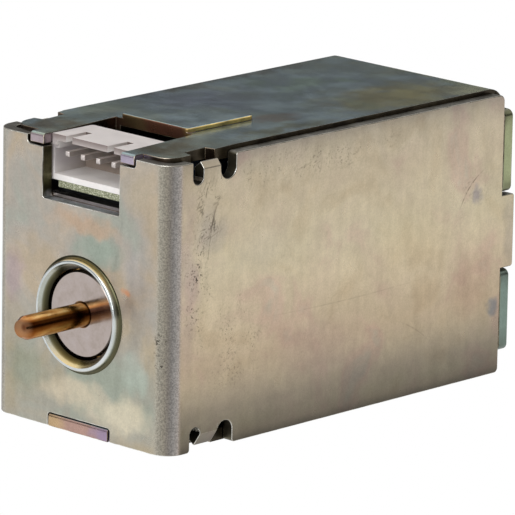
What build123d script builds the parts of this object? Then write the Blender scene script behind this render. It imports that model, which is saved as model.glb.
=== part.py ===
from build123d import *
import math
import os

# Trip coil: a push-type solenoid with its own drive board in a sheet-metal box.
# Millimetres. +X is across the box, +Y runs from the front plate to the back plate, +Z is up.
# The pieces are drawn with y = 0 at the front plate's outer face, and moved when they are written,
# so that the origin is on the base, midway across and midway along the body. The push rod leaves
# the front plate towards -Y.

# Sheet metal, shared by the bent casing and the bent frame
SHEET = 1.5
BEND_INNER = 1.1
BODY_WIDTH = 28.9
SIDE_LENGTH = 56.6
FRAME_SIDE_GAP = 0.08
FRAME_STAND_PROUD = 0.5
PLATE_GAP = 0.05

# Core, collar and rod on the coil axis
CORE_RADIUS = 5.15
CORE_FACE_SETBACK = 0.35
CORE_LENGTH = 21.6
CORE_CHAMFER = 0.2
COLLAR_GAP = 0.25
COLLAR_WALL = 1.2
COLLAR_HEIGHT = 0.75
COLLAR_ROOT_RADIUS = 0.4
COLLAR_LIP_RADIUS = 0.3
COLLAR_FUNNEL = 0.75
COLLAR_FUNNEL_DEPTH = 1.0
COLLAR_FLARE = 1.0
ROD_RADIUS = 1.4
ROD_CLEARANCE = 0.08
ROD_MOUTH_WIDENING = 0.12
ROD_REACH = 9.4
ROD_TIP_LENGTH = 0.75
ROD_TIP_FLAT_RADIUS = 1.0
ROD_PRESS_DEPTH = 7.0

# Plunger, its guide and its travel
STROKE_GAP = 4.5
PLUNGER_CLEARANCE = 0.07
PLUNGER_CHAMFER = 0.4
VENT_WIDTH = 0.8
VENT_DEPTH = 0.5
SLEEVE_WALL = 0.35
SHIM_THICKNESS = 0.3
SHIM_MARGIN = 0.3
BUMPER_THICKNESS = 1.0
BUMPER_GAP = 0.05
SPRING_WIRE = 0.6
SPRING_RADIUS = 2.6
SPRING_TURNS = 6
SPRING_RUNS = 16
SPRING_SIDES = 6
SPRING_POCKET_DEPTH = 5.0
SPRING_POCKET_CLEARANCE = 0.3

# Magnetic circuit and bobbin
POLE_PLATE_THICKNESS = 1.5
POLE_PLATE_RISE = 0.6
POLE_CLEARANCE = 0.03
REAR_FLANGE_THICKNESS = 3.0
REAR_FLANGE_MARGIN = 1.45
REAR_HUB_LENGTH = 3.2
REAR_HUB_RADIUS = 8.0
WASHER_HEIGHT = 0.7
WASHER_SHEET = 0.4
WASHER_WIDTH = 2.6
BOBBIN_WALL = 0.85
BOBBIN_FLANGE = 1.2
BOBBIN_SIDE_CLEARANCE = 0.35
BOBBIN_BASE_CLEARANCE = 0.1
BOBBIN_CORNER = 1.5
WINDING_MARGIN = 0.8
TAPE_THICKNESS = 0.25
LEAD_RADIUS = 0.35
LEAD_LENGTH = 3.0
LEAD_ANGLE = 48.0
TERMINAL_SIZE = 0.8
TERMINAL_BLOCK = 1.8
TERMINAL_BLOCK_HEIGHT = 2.6
TERMINAL_BLOCK_WIDTH = 3.4
TERMINAL_TAIL = 1.3

# Circuit board and the shrouded header that shows at the front
BOARD_LIFT = 1.35
BOARD_THICKNESS = 0.8
BOARD_SETBACK = 0.25
BOARD_SIDE_GAP = 0.6
BOARD_TONGUE_LENGTH = 7.5
BOARD_HOLE_RADIUS = 0.55
HEADER_WIDTH = 13.6
HEADER_HEIGHT = 5.5
HEADER_DEPTH = 6.1
HEADER_WALL = 0.7
HEADER_BACK = 1.1
HEADER_RECESS = 0.35
HEADER_SHOULDER = 0.45
HEADER_ROOF_WIDTH = 12.3
HEADER_ROOF_STEP = 1.3
HEADER_ROOF_LEAD = 0.35
HEADER_ROOF_THICKNESS = 0.75
HEADER_SLOT_WIDTH = 1.05
HEADER_SLOT_DEPTH = 3.2
HEADER_SLOT_OFFSET = 3.4
PIN_COUNT = 4
PIN_PITCH = 2.5
PIN_SIZE = 0.64
PIN_HEIGHT = 3.4
PIN_TIP_LEAD = 0.4
PIN_TAIL = 0.75
PIN_LEG_GAP = 0.35
SHEET_INSULATION = 0.2

# Openings and forms cut in the front plate and the frame
WINDOW_SIDE_GAP = 0.1
WINDOW_SILL = 1.15
WINDOW_CORNER = 0.3
LEDGE_HALF_WIDTH = 8.85
LEDGE_DEPTH = 1.25
LEDGE_CORNER = 0.5
ARM_TAB_WIDTH = 2.25
ARM_TAB_SETBACK = 0.1
ARM_TAPER = 0.3
CASING_CORNER_DROP = 0.2
FRAME_CORNER = 2.2
HOLE_LENGTH = 10.2
FOOT_HALF_WIDTH = 4.9
FOOT_SIDE_GAP = 0.2
FOOT_TOP_GAP = 0.1
FOOT_PROUD = 0.1
BOSS_WIDTH = 11.0
BOSS_LENGTH = 10.9
BOSS_RISE = 0.55
BOSS_EDGE = 0.2
BOSS_CORNER = 0.5
SMALL_ROUND = 0.4

# Crimps that lock the frame, two along the top edges and two along the bottom edges
CRIMP_START = 3.7
CRIMP_FRONT_SLOT = 1.7
CRIMP_TAB = 2.8
CRIMP_REAR_SLOT = 2.5
CRIMP_DEPTH = 2.85
CRIMP_TOP_LEAN = 0.6
CRIMP_TOP_BEND = 1.1
CRIMP_FOOT_LEAN = 1.05
CRIMP_FOOT_BEND = 1.9
CRIMP_END_DROP = 0.35
CRIMP_NOTCH_CLEARANCE = 0.25
CRIMP_NOTCH_DEPTH = 1.35
CRIMP_NOTCH_FLARE = 0.45

# Rear edge: the side plates' tabs pass between the back plate's wings
WING_OUTER_DROP = 2.3
WING_CORNER = 0.8
REAR_TAB_HEIGHT = 9.0
REAR_TAB_GAP = 0.3
REAR_TAB_PROUD = 0.6
SIDE_TOP_CORNER = 0.85
SIDE_FOOT_CORNER = 0.6

# Board components: length along X, length along Y, height
RECTIFIER_SIZE = (6.4, 6.2, 2.6)
TRANSISTOR_SIZE = (6.5, 6.0, 2.3)
CAPACITOR_SIZE = (8.6, 6.6, 3.9)
CONTROLLER_SIZE = (5.0, 4.0, 1.5)
DIODE_SIZE = (4.2, 2.6, 2.1)
RESISTOR_SIZE = (2.0, 1.25, 0.55)
CHIP_CAPACITOR_SIZE = (2.0, 1.25, 0.9)
VARISTOR_RADIUS = 3.4
VARISTOR_HEIGHT = 3.3
LEAD_THICKNESS = 0.25
LEAD_REACH = 0.9
HEAT_TAB_INSET = 0.5
HEAT_TAB_REACH = 1.0
DIODE_OFFSET = 1.8
SMALL_OFFSET_X = 1.8
SMALL_OFFSET_Y = 1.3

# How far a cutter runs past what it cuts, a joined piece runs into its carrier, and an edge may
# lie from the place where it is looked for
CUT = 1.0
JOIN = 0.5
MATCH = 0.01

# Values worked out from the ones above
half_width = BODY_WIDTH / 2
bend_outer = BEND_INNER + SHEET
inner_half = half_width - SHEET
frame_half = inner_half - FRAME_SIDE_GAP
flange_half = inner_half - BOBBIN_SIDE_CLEARANCE
axis_z = SHEET + BOBBIN_BASE_CLEARANCE + flange_half
board_bottom = axis_z + flange_half + BOARD_LIFT
board_top = board_bottom + BOARD_THICKNESS
header_top = board_top + HEADER_HEIGHT
frame_height = header_top + HEADER_RECESS
casing_height = frame_height - FRAME_STAND_PROUD
back_inner = SIDE_LENGTH + PLATE_GAP
back_outer = back_inner + SHEET
mid_length = back_outer / 2

sleeve_outer = CORE_RADIUS + SLEEVE_WALL
pole_bore = sleeve_outer + POLE_CLEARANCE
bobbin_bore = sleeve_outer + POLE_CLEARANCE
collar_inner = CORE_RADIUS + COLLAR_GAP
collar_outer = collar_inner + COLLAR_WALL
collar_root = collar_outer + COLLAR_ROOT_RADIUS

pole_front = SHEET + PLATE_GAP
pole_back = pole_front + POLE_PLATE_THICKNESS
bobbin_front = pole_back + WASHER_HEIGHT
rear_flange_radius = inner_half - REAR_FLANGE_MARGIN
rear_flange_front = back_inner - PLATE_GAP - REAR_FLANGE_THICKNESS
bobbin_back = rear_flange_front - REAR_HUB_LENGTH
winding_front = bobbin_front + BOBBIN_FLANGE
winding_back = bobbin_back - BOBBIN_FLANGE
winding_inner = bobbin_bore + BOBBIN_WALL
winding_outer = flange_half - WINDING_MARGIN
tape_outer = winding_outer + TAPE_THICKNESS

core_front = CORE_FACE_SETBACK
core_back = core_front + CORE_LENGTH
shim_back = core_back + SHIM_THICKNESS
plunger_front = shim_back + STROKE_GAP
bumper_front = back_inner - BUMPER_THICKNESS
plunger_back = bumper_front - BUMPER_GAP
plunger_radius = CORE_RADIUS - PLUNGER_CLEARANCE
rod_bore = ROD_RADIUS + ROD_CLEARANCE
spring_pocket_radius = SPRING_RADIUS + SPRING_WIRE / 2 + SPRING_POCKET_CLEARANCE
spring_seat = core_back - SPRING_POCKET_DEPTH

board_front = SHEET + BOARD_SETBACK
board_half = inner_half - BOARD_SIDE_GAP
terminal_y = bobbin_back + TERMINAL_BLOCK / 2
board_back = bobbin_back + TERMINAL_BLOCK
header_front = board_front
header_back = header_front + HEADER_DEPTH
header_half = HEADER_WIDTH / 2
roof_half = HEADER_ROOF_WIDTH / 2
roof_front = header_front - HEADER_ROOF_LEAD
window_half = roof_half + WINDOW_SIDE_GAP
window_sill = board_bottom - WINDOW_SILL
ledge_z = casing_height - LEDGE_DEPTH
pin_z = board_top + PIN_HEIGHT
pin_leg_y = header_back + PIN_LEG_GAP + PIN_SIZE / 2
pin_xs = [(i - (PIN_COUNT - 1) / 2) * PIN_PITCH for i in range(PIN_COUNT)]
plate_front = SHEET + PLATE_GAP
hole_back = plate_front + HOLE_LENGTH
crimp_tab_front = CRIMP_START + CRIMP_FRONT_SLOT
crimp_tab_back = crimp_tab_front + CRIMP_TAB
wing_centre = frame_height / 2
lead_orbit = tape_outer + LEAD_RADIUS
lead_x = lead_orbit * math.sin(math.radians(90 - LEAD_ANGLE))
lead_z = axis_z + lead_orbit * math.cos(math.radians(90 - LEAD_ANGLE))

coil_axis = Axis((0, 0, axis_z), (0, 1, 0))
section_plane = Plane(origin=(0, 0, axis_z), x_dir=(1, 0, 0), z_dir=(0, 0, 1))


def block(x_range, y_range, z_range):
    """Box between two limits on each axis."""
    size = [high - low for low, high in (x_range, y_range, z_range)]
    centre = [(low + high) / 2 for low, high in (x_range, y_range, z_range)]
    return Pos(*centre) * Box(*size)


def edges_at(shape, direction, axis, place):
    """Edges along one direction that lie at a place on another axis."""
    return shape.edges().filter_by(direction).filter_by_position(axis, place - MATCH, place + MATCH)


def upright(width, height, corner):
    """Rectangle that stands on its origin, with round corners at its foot."""
    outline = Rectangle(width, height, align=(Align.CENTER, Align.MIN))
    return fillet(outline.vertices().group_by(Axis.Y)[0], corner)


def turned(points):
    """Solid of revolution about the coil axis from (radius, y) points."""
    return revolve(section_plane * make_face(Polyline(*points, close=True)), coil_axis)


def ring(inner, outer, front, back):
    """Plain ring or, with no inner radius, a disc on the coil axis."""
    return turned([(inner, front), (outer, front), (outer, back), (inner, back)])


def channel_section(width, depth):
    """Bent strip seen end on: a web along X at y = 0 and two legs towards +Y."""
    outside = upright(width, depth, bend_outer)
    return outside - Pos(0, SHEET) * upright(width - 2 * SHEET, depth, BEND_INNER)


def side_slot(front, width, corner):
    """Round-ended slot through both side plates, open at the top edge, as a cutter."""
    bottom = casing_height - CRIMP_DEPTH + width / 2
    centre = front + width / 2
    outline = Pos(centre, bottom) * Circle(width / 2)
    outline += Pos(centre, bottom) * Rectangle(width, CRIMP_DEPTH, align=(Align.CENTER, Align.MIN))
    mouth = Pos(centre, casing_height) * Rectangle(width + 2 * corner, 2 * corner)
    mouth -= Pos(front - corner, casing_height - corner) * Circle(corner)
    mouth -= Pos(front + width + corner, casing_height - corner) * Circle(corner)
    plane = Plane(origin=(-half_width - CUT, 0, 0), x_dir=(0, 1, 0), z_dir=(1, 0, 0))
    return extrude(plane * (outline + mouth), BODY_WIDTH + 2 * CUT)


def crimp_tab(lean, bend_drop):
    """Leaning tab of the right side plate at its top edge, between the two slots."""
    root = casing_height - CRIMP_DEPTH
    bend = casing_height - bend_drop
    top = casing_height - CRIMP_END_DROP
    slope = math.atan2(lean, top - bend)
    across = (SHEET * math.cos(slope), SHEET * math.sin(slope))
    face = make_face(Polyline(
        (half_width, root), (half_width, bend), (half_width - lean, top),
        (half_width - lean - across[0], top - across[1]),
        (inner_half, bend - SHEET * math.tan(slope / 2)), (inner_half, root), close=True))
    plane = Plane(origin=(0, crimp_tab_front, 0), x_dir=(1, 0, 0), z_dir=(0, -1, 0))
    tab = extrude(plane * face, -CRIMP_TAB)
    outer_edges = tab.edges().filter_by(Axis.Y).sort_by(Axis.X)
    return fillet(outer_edges[-2:].sort_by(Axis.Z)[-1:], SMALL_ROUND)


def upside_down(shape):
    """Copy of a casing feature, mirrored to the bottom edges."""
    return mirror(shape, about=Plane(origin=(0, 0, casing_height / 2), z_dir=(0, 0, 1)))


def collar():
    """Drawn collar: a lip outwards, a funnel in its mouth, a rounded root and a flare inside."""
    lip_y = -COLLAR_HEIGHT
    root, wall, bore = collar_root, collar_outer, collar_inner
    mouth = bore + COLLAR_FUNNEL
    outline = [
        Line((root, SHEET), (root, 0)),
        CenterArc((root, -COLLAR_ROOT_RADIUS), COLLAR_ROOT_RADIUS, 90, 90),
        Line((wall, -COLLAR_ROOT_RADIUS), (wall, lip_y + COLLAR_LIP_RADIUS)),
        CenterArc((wall - COLLAR_LIP_RADIUS, lip_y + COLLAR_LIP_RADIUS), COLLAR_LIP_RADIUS, 0, -90),
        Line((wall - COLLAR_LIP_RADIUS, lip_y), (mouth, lip_y)),
        Line((mouth, lip_y), (bore, lip_y + COLLAR_FUNNEL_DEPTH)),
        Line((bore, lip_y + COLLAR_FUNNEL_DEPTH), (bore, SHEET - COLLAR_FLARE)),
        Line((bore, SHEET - COLLAR_FLARE), (bore + COLLAR_FLARE, SHEET)),
        Line((bore + COLLAR_FLARE, SHEET), (root, SHEET)),
    ]
    return revolve(section_plane * make_face(outline), coil_axis)


def casing():
    """Front plate and both side plates, one bent strip with all its openings and tabs."""
    body = extrude(channel_section(BODY_WIDTH, SIDE_LENGTH), casing_height)
    for low, corner in ((0, SIDE_FOOT_CORNER), (casing_height, SIDE_TOP_CORNER)):
        ends = edges_at(body, Axis.X, Axis.Y, SIDE_LENGTH)
        body = fillet(ends.filter_by_position(Axis.Z, low - MATCH, low + MATCH), corner)
    body -= block((-half_width - CUT, half_width + CUT), (-CUT, CRIMP_START + CRIMP_FRONT_SLOT / 2),
                  (casing_height - CASING_CORNER_DROP, casing_height + CUT))
    tab_z = (wing_centre - REAR_TAB_HEIGHT / 2, wing_centre + REAR_TAB_HEIGHT / 2)
    for sign in (-1, 1):
        x_range = sorted((sign * inner_half, sign * half_width))
        tab = block(x_range, (SIDE_LENGTH - JOIN, back_outer + REAR_TAB_PROUD), tab_z)
        tab = fillet(tab.edges().filter_by(Axis.X).group_by(Axis.Y)[-1], SMALL_ROUND)
        body += tab
    window = Pos(0, window_sill) * upright(2 * window_half, casing_height, WINDOW_CORNER)
    ledge = Pos(0, ledge_z) * upright(2 * LEDGE_HALF_WIDTH, casing_height, LEDGE_CORNER)
    foot_height = SHEET + FOOT_TOP_GAP
    foot_width = 2 * (FOOT_HALF_WIDTH + FOOT_SIDE_GAP)
    foot = Rectangle(foot_width, foot_height, align=(Align.CENTER, Align.MIN))
    foot = fillet(foot.vertices().group_by(Axis.Y)[-1], SMALL_ROUND)
    front_plane = Plane(origin=(0, -CUT, 0), x_dir=(1, 0, 0), z_dir=(0, -1, 0))
    body -= extrude(front_plane * (window + ledge + foot), -(SHEET + 2 * CUT))
    body -= ring(0, collar_root, -CUT, SHEET + CUT)
    body += collar()
    front_slot = side_slot(CRIMP_START, CRIMP_FRONT_SLOT, SMALL_ROUND)
    rear_slot = side_slot(crimp_tab_back, CRIMP_REAR_SLOT, SMALL_ROUND)
    stub = block((-half_width - CUT, half_width + CUT), (crimp_tab_front - MATCH, crimp_tab_back + MATCH),
                 (casing_height - CRIMP_DEPTH, casing_height + CUT))
    body -= front_slot + rear_slot + stub
    body -= upside_down(front_slot) + upside_down(rear_slot) + upside_down(stub)
    top_tab = crimp_tab(CRIMP_TOP_LEAN, CRIMP_TOP_BEND)
    foot_tab = upside_down(crimp_tab(CRIMP_FOOT_LEAN, CRIMP_FOOT_BEND))
    for tab in (top_tab, foot_tab):
        body += tab + mirror(tab, about=Plane.YZ)
    return body


def crimp_notches():
    """Tapered notches in the long edges of a frame plate, as a full-height cutter."""
    root_front = crimp_tab_front - CRIMP_NOTCH_CLEARANCE
    root_back = crimp_tab_back + CRIMP_NOTCH_CLEARANCE
    mouth_x = frame_half + CUT
    root_x = frame_half - CRIMP_NOTCH_DEPTH
    face = make_face(Polyline(
        (mouth_x, root_front - CRIMP_NOTCH_FLARE), (root_x, root_front), (root_x, root_back),
        (mouth_x, root_back + CRIMP_NOTCH_FLARE), close=True))
    notch = extrude(Pos(0, 0, -CUT) * face, frame_height + 2 * CUT)
    return notch + mirror(notch, about=Plane.YZ)


def frame():
    """Top, back and bottom plates, one bent strip inside the casing's three sides."""
    depth = back_outer - plate_front
    plane = Plane(origin=(-frame_half, back_outer, frame_height / 2), x_dir=(0, 0, 1), z_dir=(1, 0, 0))
    body = extrude(plane * channel_section(frame_height, depth), 2 * frame_half)
    body = fillet(edges_at(body, Axis.Z, Axis.Y, plate_front), FRAME_CORNER)
    body -= crimp_notches()
    tab_half = REAR_TAB_HEIGHT / 2 + REAR_TAB_GAP
    for sign in (-1, 1):
        for end in (-1, 1):
            near = wing_centre + end * tab_half
            far = wing_centre + end * (casing_height / 2 - WING_OUTER_DROP)
            x_range = sorted((sign * (frame_half - JOIN), sign * half_width))
            wing = block(x_range, (back_inner, back_outer), sorted((near, far)))
            outer = wing.edges().filter_by(Axis.Y).sort_by(Axis.X)
            outer = outer[-2:] if sign > 0 else outer[:2]
            body += fillet(outer, WING_CORNER)
    top = (frame_height - SHEET - CUT, frame_height + CUT)
    body -= block((-window_half, window_half), (plate_front - CUT, hole_back), top)
    arm_top = frame_height - ARM_TAPER
    taper = make_face(Polyline((plate_front - CUT, arm_top), (plate_front, arm_top), (hole_back, frame_height),
                               (hole_back, frame_height + CUT), (plate_front - CUT, frame_height + CUT), close=True))
    side_plane = Plane(origin=(-half_width, 0, 0), x_dir=(0, 1, 0), z_dir=(1, 0, 0))
    body -= extrude(side_plane * taper, BODY_WIDTH)
    arm_tab_z = (frame_height - SHEET, arm_top)
    for sign in (-1, 1):
        x_range = sorted((sign * window_half, sign * (window_half + ARM_TAB_WIDTH)))
        tab = block(x_range, (ARM_TAB_SETBACK, plate_front + JOIN), arm_tab_z)
        body += fillet(tab.edges().filter_by(Axis.X).group_by(Axis.Y)[0].sort_by(Axis.Z)[-1:], SMALL_ROUND)
    foot = block((-FOOT_HALF_WIDTH, FOOT_HALF_WIDTH), (-FOOT_PROUD, plate_front + JOIN), (0, SHEET))
    body += fillet(foot.edges().filter_by(Axis.X).group_by(Axis.Y)[0].sort_by(Axis.Z)[-1:], SMALL_ROUND)
    boss_x = (-BOSS_WIDTH / 2, BOSS_WIDTH / 2)
    boss_y = (hole_back, hole_back + BOSS_LENGTH)
    boss = block(boss_x, boss_y, (frame_height - SHEET, frame_height + BOSS_RISE))
    boss = fillet(boss.edges().filter_by(Axis.Z), BOSS_CORNER)
    rim = boss.faces().sort_by(Axis.Z)[-1].edges()
    body += fillet(rim, BOSS_EDGE)
    under = (frame_height - SHEET - CUT, frame_height - SHEET + BOSS_RISE)
    return body - block(boss_x, (hole_back - CUT, boss_y[1]), under)


def front_pole_plate():
    """Steel plate that closes the magnetic path between the front plate and the core."""
    half = inner_half - BEND_INNER
    top = axis_z + flange_half + POLE_PLATE_RISE
    body = block((-half, half), (pole_front, pole_back), (axis_z - flange_half, top))
    body = fillet(body.edges().filter_by(Axis.Y), BOBBIN_CORNER)
    return body - ring(0, pole_bore, pole_front - CUT, pole_back + CUT)


def fixed_core():
    """Turned steel core with a clearance bore for the rod and a pocket for the spring."""
    mouth = rod_bore + ROD_MOUTH_WIDENING
    return turned([
        (mouth, core_front), (CORE_RADIUS - CORE_CHAMFER, core_front),
        (CORE_RADIUS, core_front + CORE_CHAMFER), (CORE_RADIUS, core_back),
        (spring_pocket_radius, core_back), (spring_pocket_radius, spring_seat),
        (rod_bore, spring_seat), (rod_bore, core_front + ROD_MOUTH_WIDENING)])


def guide_sleeve():
    """Thin brass tube that holds the core and guides the plunger."""
    return ring(CORE_RADIUS, sleeve_outer, pole_front, bumper_front)


def core_shim():
    """Non-magnetic washer on the core's end that stops the plunger sticking."""
    return ring(spring_pocket_radius + SHIM_MARGIN, CORE_RADIUS - SHIM_MARGIN, core_back, shim_back)


def return_spring():
    """Compression spring between the core's pocket and the plunger, wound in short straight runs."""
    rise = plunger_front - spring_seat - SPRING_WIRE
    runs = SPRING_TURNS * SPRING_RUNS
    points = []
    for i in range(runs + 1):
        turn = 2 * math.pi * i / SPRING_RUNS
        points.append((SPRING_RADIUS * math.sin(turn), spring_seat + SPRING_WIRE / 2 + rise * i / runs,
                       axis_z + SPRING_RADIUS * math.cos(turn)))
    path = Polyline(*points)
    wire = Plane(origin=path @ 0, z_dir=path % 0) * RegularPolygon(SPRING_WIRE / 2, SPRING_SIDES)
    return sweep(wire, path, transition=Transition.RIGHT)


def plunger():
    """Turned steel plunger with a pressed-in rod and one vent groove along it."""
    c = PLUNGER_CHAMFER
    body = turned([
        (0, plunger_front), (plunger_radius - c, plunger_front), (plunger_radius, plunger_front + c),
        (plunger_radius, plunger_back - c), (plunger_radius - c, plunger_back), (0, plunger_back)])
    body -= ring(0, ROD_RADIUS, plunger_front - CUT, plunger_front + ROD_PRESS_DEPTH)
    groove_top = axis_z + plunger_radius
    return body - block((-VENT_WIDTH / 2, VENT_WIDTH / 2), (plunger_front - CUT, plunger_back + CUT),
                        (groove_top - VENT_DEPTH, groove_top + CUT))


def push_rod():
    """Brass rod that the plunger drives out of the front plate."""
    tip = -ROD_REACH
    return turned([
        (0, tip), (ROD_TIP_FLAT_RADIUS, tip), (ROD_RADIUS, tip + ROD_TIP_LENGTH),
        (ROD_RADIUS, plunger_front + ROD_PRESS_DEPTH), (0, plunger_front + ROD_PRESS_DEPTH)])


def rear_bumper():
    """Rubber disc that the plunger rests against."""
    return ring(0, sleeve_outer, bumper_front, back_inner)


def rear_pole_ring():
    """Turned steel ring that leads the flux from the back plate into the plunger."""
    return turned([
        (pole_bore, bobbin_back), (REAR_HUB_RADIUS, bobbin_back), (REAR_HUB_RADIUS, rear_flange_front),
        (rear_flange_radius, rear_flange_front), (rear_flange_radius, back_inner - PLATE_GAP),
        (pole_bore, back_inner - PLATE_GAP)])


def spring_washer():
    """Conical washer that keeps the bobbin tight against the rear pole ring."""
    inner = pole_bore + WASHER_WIDTH / 2
    outer = inner + WASHER_WIDTH
    return turned([
        (inner, pole_back), (inner + WASHER_SHEET, pole_back), (outer, bobbin_front - WASHER_SHEET),
        (outer, bobbin_front), (outer - WASHER_SHEET, bobbin_front), (inner, pole_back + WASHER_SHEET)])


def bobbin():
    """Moulded bobbin: a tube, two flanges that carry the board, and two terminal blocks."""
    body = ring(bobbin_bore, winding_inner, bobbin_front, bobbin_back)
    for front in (bobbin_front, winding_back):
        flange = block((-flange_half, flange_half), (front, front + BOBBIN_FLANGE),
                       (axis_z - flange_half, board_bottom))
        flange = fillet(flange.edges().filter_by(Axis.Y).group_by(Axis.Z)[0], BOBBIN_CORNER)
        body += flange - ring(0, bobbin_bore, front - CUT, front + BOBBIN_FLANGE + CUT)
    for sign in (-1, 1):
        x = sign * lead_x
        body += block((x - TERMINAL_BLOCK_WIDTH / 2, x + TERMINAL_BLOCK_WIDTH / 2),
                      (bobbin_back - JOIN, bobbin_back + TERMINAL_BLOCK),
                      (board_bottom - TERMINAL_BLOCK_HEIGHT, board_bottom))
        body -= terminal(x)
        passage = Pos(x, winding_back + BOBBIN_FLANGE / 2, lead_z) * Rot(90, 0, 0)
        body -= passage * Cylinder(LEAD_RADIUS + POLE_CLEARANCE, BOBBIN_FLANGE + CUT)
    return body


def terminal(x):
    """Square terminal pin through a bobbin block and the board."""
    half = TERMINAL_SIZE / 2
    return block((x - half, x + half), (terminal_y - half, terminal_y + half),
                 (lead_z - TERMINAL_SIZE, board_top + TERMINAL_TAIL))


def coil_lead(x):
    """End of the winding wire, laid on the tape and welded to its terminal."""
    length = LEAD_LENGTH + terminal_y - TERMINAL_SIZE / 2 - winding_back
    front = winding_back - LEAD_LENGTH
    return Pos(x, front + length / 2, lead_z) * Rot(90, 0, 0) * Cylinder(LEAD_RADIUS, length)


def insulating_sheet():
    """Insulating sheet laid on the coil, under the board."""
    return block((-board_half, board_half), (winding_front, winding_back),
                 (axis_z + tape_outer, axis_z + tape_outer + SHEET_INSULATION))


def circuit_board():
    """Drive board with a narrow tongue under the header."""
    tongue_half = roof_half - HEADER_WALL
    shoulder = board_front + BOARD_TONGUE_LENGTH
    body = block((-board_half, board_half), (shoulder, board_back), (board_bottom, board_top))
    body = fillet(body.edges().filter_by(Axis.Z), SMALL_ROUND)
    body += block((-tongue_half, tongue_half), (board_front, shoulder + JOIN), (board_bottom, board_top))
    holes = [(x, pin_leg_y) for x in pin_xs] + [(sign * lead_x, terminal_y) for sign in (-1, 1)]
    middle = (board_bottom + board_top) / 2
    for x, y in holes:
        body -= Pos(x, y, middle) * Cylinder(BOARD_HOLE_RADIUS, 2 * BOARD_THICKNESS)
    return body


def connector_housing():
    """Shrouded header, open to the front: a wide body and a narrower roof with two keying slots."""
    shoulder = header_top - HEADER_ROOF_STEP
    body = block((-header_half, header_half), (header_front, header_back), (board_top, shoulder))
    upper = block((-roof_half, roof_half), (roof_front, header_back), (shoulder, header_top))
    body += fillet(upper.edges().filter_by(Axis.Z).group_by(Axis.Y)[-1], SMALL_ROUND)
    cavity_back = header_back - HEADER_BACK
    roof = header_top - HEADER_ROOF_THICKNESS
    for half, top in ((header_half, shoulder - HEADER_SHOULDER), (roof_half, roof)):
        inner = half - HEADER_WALL
        body -= block((-inner, inner), (roof_front - CUT, cavity_back), (board_top + HEADER_WALL, top))
    for sign in (-1, 1):
        x = sign * HEADER_SLOT_OFFSET
        body -= block((x - HEADER_SLOT_WIDTH / 2, x + HEADER_SLOT_WIDTH / 2),
                      (roof_front - CUT, roof_front + HEADER_SLOT_DEPTH), (roof - CUT, header_top + CUT))
    for x in pin_xs:
        half = PIN_SIZE / 2
        body -= block((x - half, x + half), (cavity_back - CUT, header_back + CUT),
                      (pin_z - half, pin_z + half))
    return body


def connector_pin(x):
    """Right-angled header pin with a chamfered tip, soldered through the board."""
    half = PIN_SIZE / 2
    tip = header_front - PIN_TIP_LEAD
    arm = block((x - half, x + half), (tip, pin_leg_y + half), (pin_z - half, pin_z + half))
    arm = chamfer(arm.faces().sort_by(Axis.Y)[0].edges(), half / 2)
    leg = block((x - half, x + half), (pin_leg_y - half, pin_leg_y + half),
                (board_bottom - PIN_TAIL, pin_z + half))
    return arm + leg


def row_y(row):
    """Centre of a component row: the rows share the board's free length with equal gaps."""
    depths = [max(RECTIFIER_SIZE[1], 2 * VARISTOR_RADIUS),
              max(TRANSISTOR_SIZE[1] + 2 * HEAT_TAB_REACH, CAPACITOR_SIZE[1]),
              max(CONTROLLER_SIZE[1], DIODE_SIZE[1] + 2 * DIODE_OFFSET),
              RESISTOR_SIZE[1] + 2 * SMALL_OFFSET_Y,
              CHIP_CAPACITOR_SIZE[1]]
    first = pin_leg_y + PIN_SIZE
    last = terminal_y - TERMINAL_SIZE
    gap = (last - first - sum(depths)) / (len(depths) + 1)
    return first + sum(depths[:row]) + gap * (row + 1) + depths[row] / 2


def chip(size, x, y):
    """Plain component body on the board."""
    length, width, height = size
    return Pos(x, y, board_top + height / 2) * Box(length, width, height)


def gull_leads(size, x, y, count):
    """Flat leads at both ends of a component body, a foot and a riser each."""
    length, width, height = size
    leads = []
    for sign in (-1, 1):
        for i in range(count):
            lead_y = y + ((i + 0.5) / count - 0.5) * width
            span = sorted((x + sign * (length / 2 - JOIN), x + sign * (length / 2 + LEAD_REACH)))
            thickness = (lead_y - LEAD_THICKNESS, lead_y + LEAD_THICKNESS)
            leads.append(block(span, thickness, (board_top, board_top + LEAD_THICKNESS)))
            riser = sorted((x + sign * (length / 2 - JOIN), x + sign * (length / 2 + LEAD_THICKNESS)))
            leads.append(block(riser, thickness, (board_top, board_top + height / 2)))
    return leads


def leaded_chip(size, x, y, count):
    """Component body with gull-wing leads, its top edges softened."""
    body = chip(size, x, y)
    body = chamfer(body.faces().sort_by(Axis.Z)[-1].edges(), LEAD_THICKNESS)
    for lead in gull_leads(size, x, y, count):
        body += lead
    return body


def varistor(x, y):
    """Round surge suppressor lying on the board."""
    body = Pos(x, y, board_top + VARISTOR_HEIGHT / 2) * Cylinder(VARISTOR_RADIUS, VARISTOR_HEIGHT)
    return chamfer(body.edges().filter_by(GeomType.CIRCLE), SMALL_ROUND)


def capacitor(x, y):
    """Box-shaped film capacitor with softened corners."""
    return fillet(chip(CAPACITOR_SIZE, x, y).edges().filter_by(Axis.Z), SMALL_ROUND)


def transistor(x, y):
    """Power transistor: body, soldered heat tab and two leads."""
    length, width, height = TRANSISTOR_SIZE
    tab_half = length / 2 - HEAT_TAB_INSET
    tab_y = (y - width / 2 - HEAT_TAB_REACH, y + width / 2)
    tab = block((x - tab_half, x + tab_half), tab_y, (board_top, board_top + 2 * LEAD_THICKNESS))
    return leaded_chip(TRANSISTOR_SIZE, x, y, 2) + tab


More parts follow.
